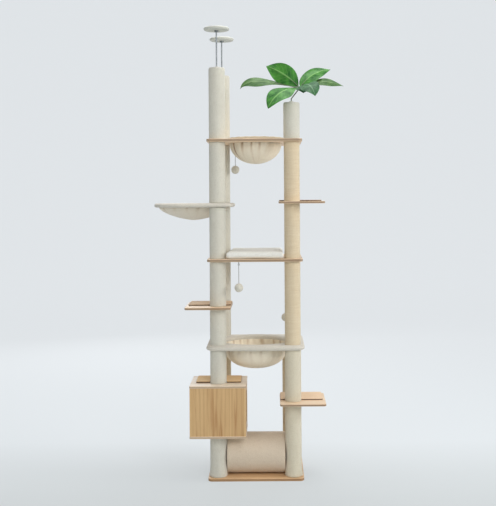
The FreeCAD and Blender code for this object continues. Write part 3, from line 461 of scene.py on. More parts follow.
WELD = 0.05 * MM   # points nearer than this become one, so that a long profile's seam closes


def deselect():
    bpy.ops.object.select_all(action="DESELECT")


def pick(piece):
    """Selects one piece alone and makes it the active one."""
    deselect()
    piece.select_set(True)
    bpy.context.view_layer.objects.active = piece


def edit(piece):
    """Opens a piece for editing with all of it selected."""
    pick(piece)
    bpy.ops.object.mode_set(mode="EDIT")
    bpy.ops.mesh.select_all(action="SELECT")


def close(piece):
    """Welds doubles, turns the faces outwards and leaves edit mode."""
    bpy.ops.mesh.select_all(action="SELECT")
    bpy.ops.mesh.remove_doubles(threshold=WELD)
    bpy.ops.mesh.normals_make_consistent(inside=False)
    bpy.ops.object.mode_set(mode="OBJECT")
    return piece


def started(name):
    """The object that the last operator added, under its own name."""
    piece = bpy.context.active_object
    piece.name = name
    piece.data.name = name
    return piece


def apply_modifiers(piece):
    pick(piece)
    for modifier in list(piece.modifiers):
        bpy.ops.object.modifier_apply(modifier=modifier.name)


def to_mesh(piece):
    """Makes a curve a mesh, with its place in the mesh."""
    pick(piece)
    bpy.ops.object.convert(target="MESH")
    bpy.ops.object.transform_apply(location=True, rotation=True, scale=True)
    return bpy.context.active_object


def join(name, pieces):
    """Makes one piece of several."""
    pick(pieces[0])
    for piece in pieces:
        piece.select_set(True)
    bpy.ops.object.join()
    return started(name)


def dress(piece, finish, body="tree", nodes=()):
    """Settles a piece in the frame: its place in its mesh, its finish, its body and what it replaces."""
    pick(piece)
    bpy.ops.object.transform_apply(location=True, rotation=True, scale=True)
    bpy.ops.object.shade_smooth_by_angle(angle=math.radians(50))
    if finish:
        piece.data.materials.clear()
        piece.data.materials.append(finish)
    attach(piece, body)
    if nodes:
        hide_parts(*nodes)
    return piece


def chain(name, points):
    """A line drawn from point to point, one extruded corner after another; it stays open for editing."""
    deselect()
    bpy.ops.mesh.primitive_plane_add(size=MM)
    piece = started(name)
    edit(piece)
    bpy.ops.mesh.merge(type="CENTER")
    bpy.ops.transform.translate(value=points[0])
    for before, after in zip(points, points[1:]):
        step = Vector(after) - Vector(before)
        bpy.ops.mesh.extrude_region_move(TRANSFORM_OT_translate={"value": step})
    bpy.ops.mesh.select_all(action="SELECT")
    return piece


def turned(name, profile, steps, centre, along_x=False):
    """Spins a closed or open profile of (radius, height) points about an upright axis, or one along X."""
    if along_x:
        points = [(height, centre[1], centre[2] + radius) for radius, height in profile]
        axis = (1, 0, 0)
    else:
        points = [(centre[0] + radius, centre[1], height) for radius, height in profile]
        axis = (0, 0, 1)
    piece = chain(name, points)
    bpy.ops.mesh.spin(steps=steps, angle=2 * math.pi, center=centre, axis=axis)
    return close(piece)


def wound(name, profile, pitch, turns, steps):
    """Winds a short profile of (radius, height) points round the upright axis, a pitch higher each turn."""
    piece = chain(name, [(radius, 0, height) for radius, height in profile])
    bpy.ops.object.mode_set(mode="OBJECT")
    winding = piece.modifiers.new("winding", "SCREW")
    winding.steps = steps
    winding.render_steps = steps
    winding.iterations = turns
    winding.screw_offset = pitch
    apply_modifiers(piece)
    edit(piece)
    return close(piece)


def trimmed(piece, low, high):
    """Cuts a piece flat at two heights and closes it there."""
    for height, upwards in ((low, True), (high, False)):
        edit(piece)
        bpy.ops.mesh.bisect(plane_co=(0, 0, height), plane_no=(0, 0, 1), use_fill=True, clear_inner=upwards,
                            clear_outer=not upwards, threshold=1e-6)
        close(piece)
    return piece


def shade(piece, amounts):
    """Keeps, from 0 to 1, how deep each point lies in a fold or hollow, which the finish paints as shade."""
    layer = piece.data.attributes.new("fold", "FLOAT", "POINT")
    layer.data.foreach_set("value", amounts)


def spread(piece, name, place):
    """Lays out a piece's own map; place gives a corner's (u, v) from its point and its face's middle."""
    layer = piece.data.uv_layers.new(name=name)
    points = piece.data.vertices
    values = []
    for face in piece.data.polygons:
        for index in face.vertices:
            values.extend(place(points[index].co, face.center))
    layer.data.foreach_set("uv", values)


def near_angle(point, middle):
    """The angle of a point about the upright axis, in the same turn as the middle of its face."""
    base = math.atan2(middle.y, middle.x)
    angle = math.atan2(point.y, point.x)
    return angle + 2 * math.pi * round((base - angle) / (2 * math.pi))


def nap(piece, height, grain):
    """Lifts and sinks the surface along its normals, as tufts of pile do. grain is the size of a tuft."""
    mesh = piece.data
    lifts = []
    for vertex in mesh.vertices:
        place = vertex.co / grain
        lift = noise.noise(place) + 0.5 * noise.noise(place * 2.3 + Vector((7, 3, 5)))
        lifts.append(vertex.normal * (lift * height))
    for vertex, lift in zip(mesh.vertices, lifts):
        vertex.co += lift


def lifted(piece, floor):
    """Keeps a soft piece's underside above what it rests on."""
    for vertex in piece.data.vertices:
        vertex.co.z = max(vertex.co.z, floor)


def arc(centre_radius, centre_height, radius, first, last, count):
    """Points of a profile along a circle, angles in degrees from outwards to upwards."""
    points = []
    for index in range(count + 1):
        angle = math.radians(first + (last - first) * index / count)
        points.append((centre_radius + radius * math.cos(angle), centre_height + radius * math.sin(angle)))
    return points


def smooth_rod(name, controls, radius, roundness):
    """A round rod along a smooth curve; each control point is a place and a share of the radius."""
    curve = bpy.data.curves.new(name, "CURVE")
    curve.dimensions = "3D"
    spline = curve.splines.new("NURBS")
    spline.points.add(len(controls) - 1)
    for point, (place, share) in zip(spline.points, controls):
        point.co = (*place, 1)
        point.radius = share
    spline.order_u = 3
    spline.use_endpoint_u = True
    curve.bevel_depth = radius
    curve.bevel_resolution = roundness
    curve.use_fill_caps = True
    piece = bpy.data.objects.new(name, curve)
    bpy.context.collection.objects.link(piece)
    return piece


# Post covers

PLUSH_FACE = PLUSH_RADIUS - 0.6 * MM   # the pile stands up on both sides of this radius
PLUSH_RIM = 3.5 * MM
PILE_ROW = 4.5 * MM      # from one row of points to the next along a plush sleeve
SLEEVE_STEPS = 80
ROPE = 5.6 * MM          # one turn of the sisal rope
ROPE_HOLLOW = 1.9 * MM   # depth between two turns
ROPE_SECTION = (-1.0, -0.72, -0.3, 0.3, 0.72, 1.0)   # places across, as shares of the rope's half width
ROPE_STEPS = 96
ROPE_LUMP = 0.25 * MM
STRAND_LAY = 9.5 * MM    # length of rope from one strand to the next
STRAND_DEPTH = 0.7 * MM
FOOT_HEIGHT = 85 * MM    # the front posts' plush spreads over the base below this height
FOOT_HELD = 0.75         # share of the spread that the tunnel holds back on its side
# Each front post: its number of covers, those in sisal, and its foot's swell, spread and tunnel side in X
FRONT_POSTS = (("front_left", FRONT_LEFT, 7, (), (2.5 * MM, 5 * MM, 1)),
               ("front_right", FRONT_RIGHT, 6, (3, 4, 5), (0.0, 6.5 * MM, -1)))
# What the rear left post passes through on its way up
REAR_LEFT_CROSSINGS = ("base_board", "lower_hammock_cover", "mid_shelf_board", "side_hammock_cover",
                       "top_shelf_board")


def plush_sleeve(name, centre, low, high):
    """A plush sleeve with soft rims, its pile standing up a little unevenly."""
    profile = [(TUBE_RADIUS, low)] + arc(PLUSH_FACE - PLUSH_RIM, low + PLUSH_RIM, PLUSH_RIM, -90, 0, 4)
    rows = max(2, round((high - low - 2 * PLUSH_RIM) / PILE_ROW))
    step = (high - low - 2 * PLUSH_RIM) / rows
    profile += [(PLUSH_FACE, low + PLUSH_RIM + step * index) for index in range(1, rows)]
    profile += arc(PLUSH_FACE - PLUSH_RIM, high - PLUSH_RIM, PLUSH_RIM, 0, 90, 4)
    profile += [(TUBE_RADIUS, high), (TUBE_RADIUS, low)]
    piece = turned(name, profile, SLEEVE_STEPS, (centre.x, centre.y, 0))
    nap(piece, height=0.55 * MM, grain=7 * MM)
    return piece


def spread_foot(piece, centre, low, swell, foot, tunnel_side):
    """Thickens a post's lowest sleeve by swell and spreads its foot on the base, less so at the tunnel."""
    for vertex in piece.data.vertices:
        offset = Vector((vertex.co.x - centre.x, vertex.co.y - centre.y, 0))
        fall = max(0.0, 1 - (vertex.co.z - low) / FOOT_HEIGHT)
        facing = max(0.0, tunnel_side * offset.x / offset.length)
        growth = (swell + foot * fall ** 2) * (1 - FOOT_HELD * facing ** 2)
        depth = (offset.length - TUBE_RADIUS) / (PLUSH_FACE - TUBE_RADIUS)
        vertex.co += offset.normalized() * growth * depth


def sisal_sleeve(name, centre, low, high):
    """Sisal rope wound close round the tube in one long helix, its strands twisted across the rope."""
    half = ROPE / 2
    profile = []
    for share in ROPE_SECTION:
        bulge = math.sqrt(1 - share ** 2)
        profile.append((SISAL_RADIUS - ROPE_HOLLOW * (1 - bulge), half + half * share))
    turns = math.ceil((high - low) / ROPE) + 2
    piece = wound(name, profile, ROPE, turns, ROPE_STEPS)
    run = 2 * math.pi * SISAL_RADIUS

    def along(point, middle):
        """Length along the rope and place across it."""
        turn = near_angle(point, middle) / (2 * math.pi)
        climb = point.z / ROPE - turn
        first = math.floor(middle.z / ROPE - near_angle(middle, middle) / (2 * math.pi))
        return (first + turn) * run, (climb - first - 0.5) * ROPE

    spread(piece, "rope", along)
    painted_shade = []
    for vertex in piece.data.vertices:
        distance, across = along(vertex.co, vertex.co)
        hollow = 1 - abs(math.sin(math.pi * (distance / STRAND_LAY + across / ROPE)))
        # Painted shade between the strands and at the rope's sides, between the turns.
        painted_shade.append(min(1.0, 0.6 * hollow ** 3 + 0.75 * (2 * abs(across) / ROPE) ** 4))
        sink = STRAND_DEPTH * hollow ** 2 - ROPE_LUMP * noise.noise(vertex.co / (14 * MM))
        reach = math.hypot(vertex.co.x, vertex.co.y)
        vertex.co.x *= 1 - sink / reach
        vertex.co.y *= 1 - sink / reach
    shade(piece, painted_shade)
    for vertex in piece.data.vertices:
        vertex.co += Vector((centre.x, centre.y, low - ROPE))
    return trimmed(piece, low + HAIR, high - HAIR)


def make_post_covers():
    for post, centre, count, in_sisal, foot in FRONT_POSTS:
        for index in range(1, count + 1):
            solid = "%s_cover_%d" % (post, index)
            low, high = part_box(solid)
            if index in in_sisal:
                piece = sisal_sleeve("%s_sisal_%d" % (post, index), centre, low.z, high.z)
                dress(piece, SISAL, nodes=[solid])
            else:
                piece = plush_sleeve("%s_plush_%d" % (post, index), centre, low.z, high.z)
                if index == 1:
                    spread_foot(piece, centre, low.z, *foot)
                below_sisal = in_sisal and index < in_sisal[0]
                dress(piece, WARM_PLUSH if below_sisal else POST_PLUSH, nodes=[solid])
    tops = [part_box(above)[0].z for above in REAR_LEFT_CROSSINGS[1:]] + [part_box("rear_left_covers")[1].z]
    for index, (below, top) in enumerate(zip(REAR_LEFT_CROSSINGS, tops)):
        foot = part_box(below)[1].z
        if index == 0:
            piece = sisal_sleeve("rear_left_sisal", REAR_LEFT, foot, top)
            dress(piece, SISAL, nodes=["rear_left_covers"])
        else:
            piece = plush_sleeve("rear_left_plush_%d" % index, REAR_LEFT, foot, top)
            dress(piece, POST_PLUSH, nodes=["rear_left_covers"])
    low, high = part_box("rear_right_cover")
    piece = sisal_sleeve("rear_right_sisal", REAR_RIGHT, low.z, high.z)
    dress(piece, SISAL, nodes=["rear_right_cover"])


# Hammocks

BOWL_PLEATS = 18
BOWL_STEPS = 288
BOWL_ROWS = 48
COLLAR_ROWS = 8          # rows of points from the cloth's top edge down to the rim
CLOTH = 2.4 * MM
FLANGE = 9 * MM          # the bowl's flange beyond the frame's opening
BOWL_GAP = 3 * MM        # room between a bowl and its frame
BOWL_TUCK = 6 * MM       # how far a bowl's cloth goes up into its frame
LOWER_LIFT = 6 * MM      # the lower bowl's bottom lies this far above its solid's
LOWER_FOLD = 4 * MM      # depth of the folds
SIDE_FOLD = 3 * MM
TOP_FOLD = 4.4 * MM
TOP_BUNCHED = -135       # the way in which the top bowl's folds are deepest, in degrees from +X
LOWER_FULLNESS = 2.4     # 2 is a round profile, more is fuller, less runs nearer to a cone
SIDE_FULLNESS = 1.5
TOP_FULLNESS = 2.0
EVEN_FOLDS = 0.82        # how crowded the folds of a bowl are that is gathered evenly, where 1 is densest
FRAME_CORNER = 46 * MM
FREE_CORNER = 150 * MM   # the side hammock's corners away from the posts
FRAME_SIDE = 0.42        # powers that square off the padding's section, across and upwards
FRAME_TOP = 0.55
ROLL_HALF_WIDTH = 27 * MM
LOWER_ROLL = 5.5 * MM    # how far the lower hammock's padding swells round its bowl
OUTER_ROLL = 0.7         # the swelling at the outline, as a share of that
HEM_RADIUS = 9 * MM
HEM_GRIP = 1.5 * MM      # how far the bowl's cloth goes into its hem
HEM_PINCH = 0.07         # how much lower the hem is where the cloth is gathered, as a share of its height


def edge_distance(x, y, low, high, left_corner, right_corner):
    """How far (x, y) lies outside a rounded rectangle; negative inside."""
    corner = left_corner if x < (low.x + high.x) / 2 else right_corner
    across = abs(x - (low.x + high.x) / 2) - (high.x - low.x) / 2 + corner
    along = abs(y - (low.y + high.y) / 2) - (high.y - low.y) / 2 + corner
    return math.hypot(max(across, 0), max(along, 0)) + min(max(across, along), 0) - corner


def outline_reach(centre, angle, low, high, left_corner, right_corner):
    """Distance from the centre to the frame's outline in one direction."""
    near = 0.0
    far = 1.0
    for halving in range(40):
        middle = (near + far) / 2
        x = centre.x + middle * math.cos(angle)
        y = centre.y + middle * math.sin(angle)
        if edge_distance(x, y, low, high, left_corner, right_corner) < 0:
            near = middle
        else:
            far = middle
    return near


def full(value, power):
    """A value from -1 to 1 pushed towards its ends, which squares off a round section."""
    return math.copysign(abs(value) ** power, value)


def make_hammock_frame(name, solid, centre, hole_x, hole_y, left_corner, roll):
    """Padded plush round a frame board: a ring drawn out to the frame's outline and flattened.
    Round the opening the padding swells by roll, above and below."""
    low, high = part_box(solid)
    deselect()
    bpy.ops.mesh.primitive_torus_add(major_segments=224, minor_segments=40, major_radius=2.0,
                                     minor_radius=1.0)
    piece = started(name)
    middle = (low.z + high.z) / 2
    half = (high.z - low.z) / 2
    reaches = {}
    for vertex in piece.data.vertices:
        angle = math.atan2(vertex.co.y, vertex.co.x)
        key = round(angle, 4)
        if key not in reaches:
            reaches[key] = outline_reach(centre, angle, low, high, left_corner, FRAME_CORNER)
        outward = math.hypot(vertex.co.x, vertex.co.y) - 2.0
        inner = hole_x * hole_y / math.hypot(hole_y * math.cos(angle), hole_x * math.sin(angle))
        share = 0.5 + 0.5 * full(outward, FRAME_SIDE)
        reach = inner + (reaches[key] - inner) * share
        from_roll = (reach - inner) / ROLL_HALF_WIDTH - 1
        from_rim = (reaches[key] - reach) / ROLL_HALF_WIDTH - 1
        inner_roll = math.sqrt(max(0.0, 1 - from_roll ** 2))
        outer_roll = OUTER_ROLL * math.sqrt(max(0.0, 1 - from_rim ** 2))
        swell = 1.0 - 0.1 * abs(2 * share - 1) ** 3 + roll / half * max(inner_roll, outer_roll)
        vertex.co.x = centre.x + reach * math.cos(angle)
        vertex.co.y = centre.y + reach * math.sin(angle)
        vertex.co.z = middle + half * swell * full(vertex.co.z, FRAME_TOP)
    piece.data.update()
    nap(piece, height=0.7 * MM, grain=9 * MM)
    dress(piece, FRAME_PLUSH, nodes=[solid])
    return piece


def pleat(angle, share):
    """Gathered cloth from -1 in a hollow to 1 on a crest: sharp hollows that are deepest at the rim.
    No two pleats are alike in width, slant and reach, and all are gone at the bottom."""
    wander = 0.8 * math.sin(2 * angle + 0.7) + 0.5 * math.sin(5 * angle + 2.1) + 0.6 * share
    crest = 2 * abs(math.sin(BOWL_PLEATS / 2 * angle + wander)) - 1
    small = math.sin(2 * BOWL_PLEATS * angle + 3 * wander + 4 * share)
    reach = 0.5 + 0.5 * math.sin(3 * angle + 1.9) * math.sin(7 * angle + 0.4)
    fade = max(0.0, 1 - share / (0.36 + 0.72 * reach))
    return (crest * (0.5 + 0.5 * reach) + 0.34 * small) * fade


def make_bowl(name, solid, centre, radius_x, radius_y, heights, fold, fullness, finish, bunched=None):
    """A cloth bowl hung from its rim, with gathered folds.
    heights are the cloth's top edge, the rim and the bottom. bunched is the direction, in degrees from +X,
    in which the folds are deepest."""
    top, rim, bottom = heights
    depth = rim - bottom
    power = 2 / fullness
    profile = [(1.0, top - (top - rim) * index / COLLAR_ROWS) for index in range(COLLAR_ROWS)]
    for index in range(BOWL_ROWS):
        fall = math.radians(90 * index / BOWL_ROWS)
        profile.append((math.cos(fall) ** power, rim - depth * math.sin(fall) ** power))
    profile.append((0.0, bottom))
    piece = turned(name, profile, BOWL_STEPS, (0, 0, 0))
    girth = math.pi * (radius_x + radius_y)

    def laid_flat(point, middle):
        """Way round the bowl and way down its side."""
        down = (1 - math.hypot(point.x, point.y)) * radius_x - point.z
        return near_angle(point, middle) / (2 * math.pi) * girth, down

    spread(piece, "cloth", laid_flat)
    painted_shade = []
    for vertex in piece.data.vertices:
        angle = math.atan2(vertex.co.y, vertex.co.x)
        reach = math.hypot(vertex.co.x, vertex.co.y)
        share = max(0.0, (rim - vertex.co.z) / depth)
        crowd = EVEN_FOLDS if bunched is None else 0.5 + 0.5 * math.cos(angle - math.radians(bunched))
        tight = 0.0 if bunched is None else crowd ** 3
        gather = pleat(angle, share * (1 - 0.45 * tight))
        swing = fold * gather * (0.55 + 0.45 * crowd) * min(1.0, reach * 2)
        # Painted shade in the bottoms of the folds, strongest where they are bunched.
        painted_shade.append(min(1.0, max(0.0, -(1.15 + 0.6 * tight) * gather)) * (0.12 + 0.88 * crowd ** 3))
        vertex.co.x = centre.x + (reach * radius_x + swing) * math.cos(angle)
        vertex.co.y = centre.y + (reach * radius_y + swing) * math.sin(angle)
    shade(piece, painted_shade)
    wall = piece.modifiers.new("cloth", "SOLIDIFY")
    wall.thickness = CLOTH
    wall.offset = -1
    apply_modifiers(piece)
    nap(piece, height=0.25 * MM, grain=6 * MM)
    return dress(piece, finish, nodes=[solid])


def make_lower_hammock():
    """The hammock between all four posts."""
    low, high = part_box("lower_hammock_cover")
    middle = (low + high) / 2
    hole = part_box("lower_bowl")
    radius = (hole[1].x - hole[0].x) / 2 - FLANGE
    padding = make_hammock_frame("lower_hammock_frame", "lower_hammock_cover", middle, radius, radius,
                                 FRAME_CORNER, LOWER_ROLL)
    heights = (low.z + BOWL_TUCK, low.z - BOWL_GAP, hole[0].z + LOWER_LIFT)
    bowl = make_bowl("lower_hammock_bowl", "lower_bowl", middle, radius - BOWL_GAP, radius - BOWL_GAP,
                     heights, LOWER_FOLD, LOWER_FULLNESS, BOWL_CLOTH)


def make_side_hammock():
    """The hammock that stands out to the left."""
    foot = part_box("side_hammock_cover")[0].z
    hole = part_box("side_bowl")
    middle = (hole[0] + hole[1]) / 2
    radius_x = (hole[1].x - hole[0].x) / 2 - FLANGE
    radius_y = (hole[1].y - hole[0].y) / 2 - FLANGE
    padding = make_hammock_frame("side_hammock_frame", "side_hammock_cover", middle, radius_x, radius_y,
                                 FREE_CORNER, 0.0)
    heights = (foot + BOWL_TUCK, foot - BOWL_GAP, hole[0].z)
    bowl = make_bowl("side_hammock_bowl", "side_bowl", middle, radius_x - BOWL_GAP, radius_y - BOWL_GAP,
                     heights, SIDE_FOLD, SIDE_FULLNESS, SOFT_BOWL_CLOTH)


def make_top_bowl():
    """The bowl through the top shelf, with its rolled hem on the board."""
    low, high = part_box("top_bowl")
    board_low, board_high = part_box("top_shelf_board")
    middle = (low + high) / 2
    mouth = (high.x - low.x) / 2 - 2 * HEM_RADIUS + HEM_GRIP
    heights = (board_high.z + HEM_RADIUS, board_low.z, low.z)
    bowl = make_bowl("top_bowl_cloth", "top_bowl", middle, mouth, mouth, heights, TOP_FOLD, TOP_FULLNESS,
                     BOWL_CLOTH, TOP_BUNCHED)
    deselect()
    bpy.ops.mesh.primitive_torus_add(major_segments=216, minor_segments=20,
                                     major_radius=mouth + HEM_RADIUS - HEM_GRIP, minor_radius=HEM_RADIUS,
                                     location=(middle.x, middle.y, board_high.z + HEM_RADIUS))
    hem = started("top_bowl_hem")
    bpy.ops.object.transform_apply(location=True, rotation=False, scale=False)
    for vertex in hem.data.vertices:
        angle = math.atan2(vertex.co.y - middle.y, vertex.co.x - middle.x)
        pinch = 1 - HEM_PINCH * (0.5 + 0.5 * math.cos(BOWL_PLEATS * angle + 0.6 * math.sin(3 * angle)))
        vertex.co.z = board_high.z + (vertex.co.z - board_high.z) * pinch
    nap(hem, height=0.35 * MM, grain=6 * MM)
    dress(hem, HEM_CLOTH, nodes=["top_bowl"])


# Cushion on the middle shelf

CUSHION_NARROWER = 16 * MM   # how much smaller the block is that gets blown up
CUSHION_FLATTER = 9 * MM
CUSHION_EDGE = 9 * MM
CUSHION_VOXEL = 6 * MM
CUSHION_REACH = 9 * MM       # no point moves further than this when it is blown up
CUSHION_CROWN = 3 * MM
CUSHION_LIFT = 0.3 * MM
CUSHION_PROUD = 1 * MM       # how far its crown may stand above its solid
CUSHION_GAP = 1.5 * MM       # between its left side and the front left post
CUSHION_BEHIND = 60 * MM     # the swelling starts this far in front of the rear left post's axis
CUSHION_BLEND = 80 * MM
CUSHION_SIDE = 60 * MM       # width of the swelling left side


def make_cushion():
    """A stuffed plush pad: blown up as cloth from a slightly smaller block, crowned, and flat underneath.
    In front of the rear post its left side swells towards the front post."""
    low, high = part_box("mid_cushion")
    size = high - low
    deselect()
    bpy.ops.mesh.primitive_cube_add(size=1, location=(low + high) / 2)
    piece = started("mid_shelf_cushion")
    piece.dimensions = (size.x - CUSHION_NARROWER, size.y - CUSHION_NARROWER, size.z - CUSHION_FLATTER)
    bpy.ops.object.transform_apply(location=True, rotation=False, scale=True)
    edit(piece)
    bpy.ops.mesh.bevel(offset=CUSHION_EDGE, segments=4, affect="EDGES")
    close(piece)
    shape = piece.modifiers.new("remesh", "REMESH")
    shape.mode = "VOXEL"
    shape.voxel_size = CUSHION_VOXEL
    apply_modifiers(piece)
    start = [vertex.co.copy() for vertex in piece.data.vertices]
    puff = piece.modifiers.new("puff", "CLOTH")
    puff.settings.use_pressure = True
    puff.settings.uniform_pressure_force = 4.0
    puff.settings.effector_weights.gravity = 0
    puff.settings.quality = 5
    for step in range(1, 21):
        bpy.context.scene.frame_set(step)
    apply_modifiers(piece)
    bpy.context.scene.frame_set(1)
    for vertex, first in zip(piece.data.vertices, start):
        move = vertex.co - first
        if move.length > CUSHION_REACH:
            vertex.co = first + move * (CUSHION_REACH / move.length)
        across = (vertex.co.x - (low.x + high.x) / 2) / (size.x / 2)
        along = (vertex.co.y - (low.y + high.y) / 2) / (size.y / 2)
        if vertex.co.z > (low.z + high.z) / 2:
            vertex.co.z += CUSHION_CROWN * max((1 - across ** 2) * (1 - along ** 2), 0.0)
        vertex.co.z = min(max(vertex.co.z, low.z + CUSHION_LIFT), high.z + CUSHION_PROUD)
    for axis in (0, 1):
        places = [vertex.co[axis] for vertex in piece.data.vertices]
        first = min(places)
        stretch = size[axis] / (max(places) - first)
        for vertex in piece.data.vertices:
            vertex.co[axis] = low[axis] + (vertex.co[axis] - first) * stretch
    swell = low.x - (FRONT_LEFT.x + PLUSH_RADIUS) - CUSHION_GAP
    for vertex in piece.data.vertices:
        ahead = min(max((REAR_LEFT.y - CUSHION_BEHIND - vertex.co.y) / CUSHION_BLEND, 0.0), 1.0)
        aside = min(max((low.x + CUSHION_SIDE - vertex.co.x) / CUSHION_SIDE, 0.0), 1.0)
        vertex.co.x -= swell * ahead * ahead * (3 - 2 * ahead) * aside
    finer = piece.modifiers.new("finer", "SUBSURF")
    finer.levels = 1
    finer.render_levels = 1
    apply_modifiers(piece)
    nap(piece, height=0.8 * MM, grain=8 * MM)
    lifted(piece, low.z + HAIR)
    dress(piece, CUSHION_PLUSH, nodes=["mid_cushion"])


# Step and roof mats

MAT_CORNER = 8 * MM
MAT_RIM = 1.4 * MM
MAT_GAP = 1.5 * MM   # between a mat's notch and its post
MATS = (("left_step_mat", FRONT_LEFT, MAT_CLOTH), ("lower_right_step_mat", FRONT_RIGHT, MAT_CLOTH),
        ("upper_right_step_mat", FRONT_RIGHT, MAT_CLOTH), ("box_roof_mat", FRONT_LEFT, BRIGHTENED_ROOF_MAT_CLOTH))


def mat_outline(low, high, post):
    """The outline of a mat, whose front edge dips round a post."""
    points = []
    corners = ((high.x - MAT_CORNER, high.y - MAT_CORNER, 0), (low.x + MAT_CORNER, high.y - MAT_CORNER, 90),
               (low.x + MAT_CORNER, low.y + MAT_CORNER, 180), (high.x - MAT_CORNER, low.y + MAT_CORNER, 270))
    for x, y, first in corners:
        for index in range(7):
            angle = math.radians(first + 15 * index)
            points.append((x + MAT_CORNER * math.cos(angle), y + MAT_CORNER * math.sin(angle)))
        if first == 180:
            notch = PLUSH_RADIUS + MAT_GAP
            lift = math.degrees(math.asin((low.y - post.y) / notch))
            for index in range(25):
                angle = math.radians(180 - lift - (180 - 2 * lift) * index / 24)
                points.append((post.x + notch * math.cos(angle), post.y + notch * math.sin(angle)))
    return points


def make_mats():
    """Woven mats with rounded rims, notched round their posts."""
    for solid, post, finish in MATS:
        low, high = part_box(solid)
        outline = mat_outline(low, high, post)
        curve = bpy.data.curves.new(solid + "_cloth", "CURVE")
        spline = curve.splines.new("POLY")
        spline.points.add(len(outline) - 1)
        for point, (x, y) in zip(spline.points, outline):
            point.co = (x, y, 0, 1)
        spline.use_cyclic_u = True
        curve.dimensions = "2D"
        curve.fill_mode = "BOTH"
        curve.bevel_depth = MAT_RIM
        curve.bevel_resolution = 3
        curve.extrude = (high.z - low.z) / 2 - MAT_RIM
        curve.offset = -MAT_RIM
        mat = bpy.data.objects.new(solid + "_cloth", curve)
        mat.location.z = (low.z + high.z) / 2
        bpy.context.collection.objects.link(mat)
        mat = to_mesh(mat)
        edit(mat)
        close(mat)
        dress(mat, finish, nodes=[solid])


# Tunnel

TUNNEL_INSET = 0.8 * MM   # the pile stands up on both sides of this depth
TUNNEL_PLUSH_DEPTH = 3.4 * MM
TUNNEL_ROUNDING = 12 * MM
TUNNEL_STEPS = 160


def make_tunnel():
    """Plush sleeve on the tunnel's tube, turned in at both ends."""
    low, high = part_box("tunnel_cover")
    outer = (high.z - low.z) / 2 - TUNNEL_INSET
    inner = outer - TUNNEL_PLUSH_DEPTH
    ends = []
    for step in range(7):
        angle = math.radians(15 * step)
        ends.append((inner + (outer - inner) * math.sin(angle), TUNNEL_ROUNDING * (1 - math.cos(angle))))
    profile = [(radius, low.x + inset) for radius, inset in ends]
    run = high.x - low.x - 2 * TUNNEL_ROUNDING
    rows = round((high.x - low.x) / PILE_ROW)
    profile += [(outer, low.x + TUNNEL_ROUNDING + run * index / rows) for index in range(1, rows)]
    profile += [(radius, high.x - inset) for radius, inset in reversed(ends)]
    profile += [(inner, low.x)]
    piece = turned("tunnel_plush", profile, TUNNEL_STEPS, (low + high) / 2, along_x=True)
    nap(piece, height=0.7 * MM, grain=8 * MM)
    lifted(piece, low.z + HAIR)
    dress(piece, TUNNEL_PLUSH, nodes=["tunnel_cover"])


# Ceiling pads

ROD_HOLE = 4.5 * MM        # radius of the hole for the rod
ROD_HOLE_RIM = 7 * MM      # how far under the pad's top the hole's wall ends
ROD_HOLE_TIP = 6 * MM
PAD_UNDER_EDGE = 4 * MM
PAD_STITCH = 1.6 * MM      # depth of the stitched line round the rim
PAD_STEPS = 96


def make_pads():
    """Felt covered discs with a flat top and a stitched rim."""
    for body in ("front_pad", "rear_pad"):
        solid = body.replace("pad", "ceiling_pad")
        low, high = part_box(solid)
        centre = (low + high) / 2
        radius = (high.x - low.x) / 2
        rim = (high.z - low.z) / 2
        profile = [(0.0, high.z - ROD_HOLE_TIP), (ROD_HOLE, high.z - ROD_HOLE_RIM), (ROD_HOLE, low.z),
                   (radius - rim - PAD_UNDER_EDGE, low.z)]
        profile += arc(radius - rim, centre.z, rim, -90, -12, 6)
        profile += [(radius - PAD_STITCH, centre.z)]
        profile += arc(radius - rim, centre.z, rim, 12, 90, 6)
        profile += [((radius - rim) * share, high.z) for share in (0.8, 0.6, 0.4, 0.2, 0.0)]
        piece = turned(solid + "_felt", profile, PAD_STEPS, (centre.x, centre.y, 0))
        for vertex in piece.data.vertices:
            vertex.co.z = min(vertex.co.z, high.z)
        dress(piece, PAD_FELT, body=body, nodes=[solid])


# Ball toys

STRING = 2.5 * MM
LOOP_RADIUS = 1 * MM   # of the loop's own cord
BALL_PROUD = 0.4 * MM
STRING_OVERLAP = 0.6 * MM


def make_toys():
    """Pompom balls on cords that are looped through screw eyes."""
    for body in ("upper_toy", "middle_toy", "lower_toy"):
        low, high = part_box(body + "_ball")
        deselect()
        bpy.ops.mesh.primitive_ico_sphere_add(subdivisions=6, radius=(high.x - low.x) / 2 + BALL_PROUD,
                                              location=(low + high) / 2)
        ball = started(body + "_pompom")
        bpy.ops.object.transform_apply(location=True, rotation=False, scale=False)
        nap(ball, height=1.7 * MM, grain=2.2 * MM)
        dress(ball, BALL_PLUSH, body=body, nodes=[body + "_ball"])
        low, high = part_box(body + "_cord")
        x = (low.x + high.x) / 2
        y = (low.y + high.y) / 2
        loop_reach = (high.x - low.x) / 2 - LOOP_RADIUS
        loop_centre = high.z - LOOP_RADIUS - loop_reach
        deselect()
        bpy.ops.mesh.primitive_torus_add(major_segments=40, minor_segments=14, major_radius=loop_reach,
                                         minor_radius=LOOP_RADIUS, location=(x, y, loop_centre),
                                         rotation=(math.pi / 2, 0, 0))
        loop = started(body + "_loop")
        dress(loop, TOY_CORD, body=body)
        top = loop_centre - loop_reach + STRING_OVERLAP
        controls = [((x, y, top - (top - low.z) * share), 1.0) for share in (0.0, 0.3, 0.7, 1.0)]
        string = smooth_rod(body + "_string", controls, STRING / 2, roundness=4)
        string.data.materials.append(TOY_CORD)
        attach(string, body)
        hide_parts(body + "_cord")


# Plant

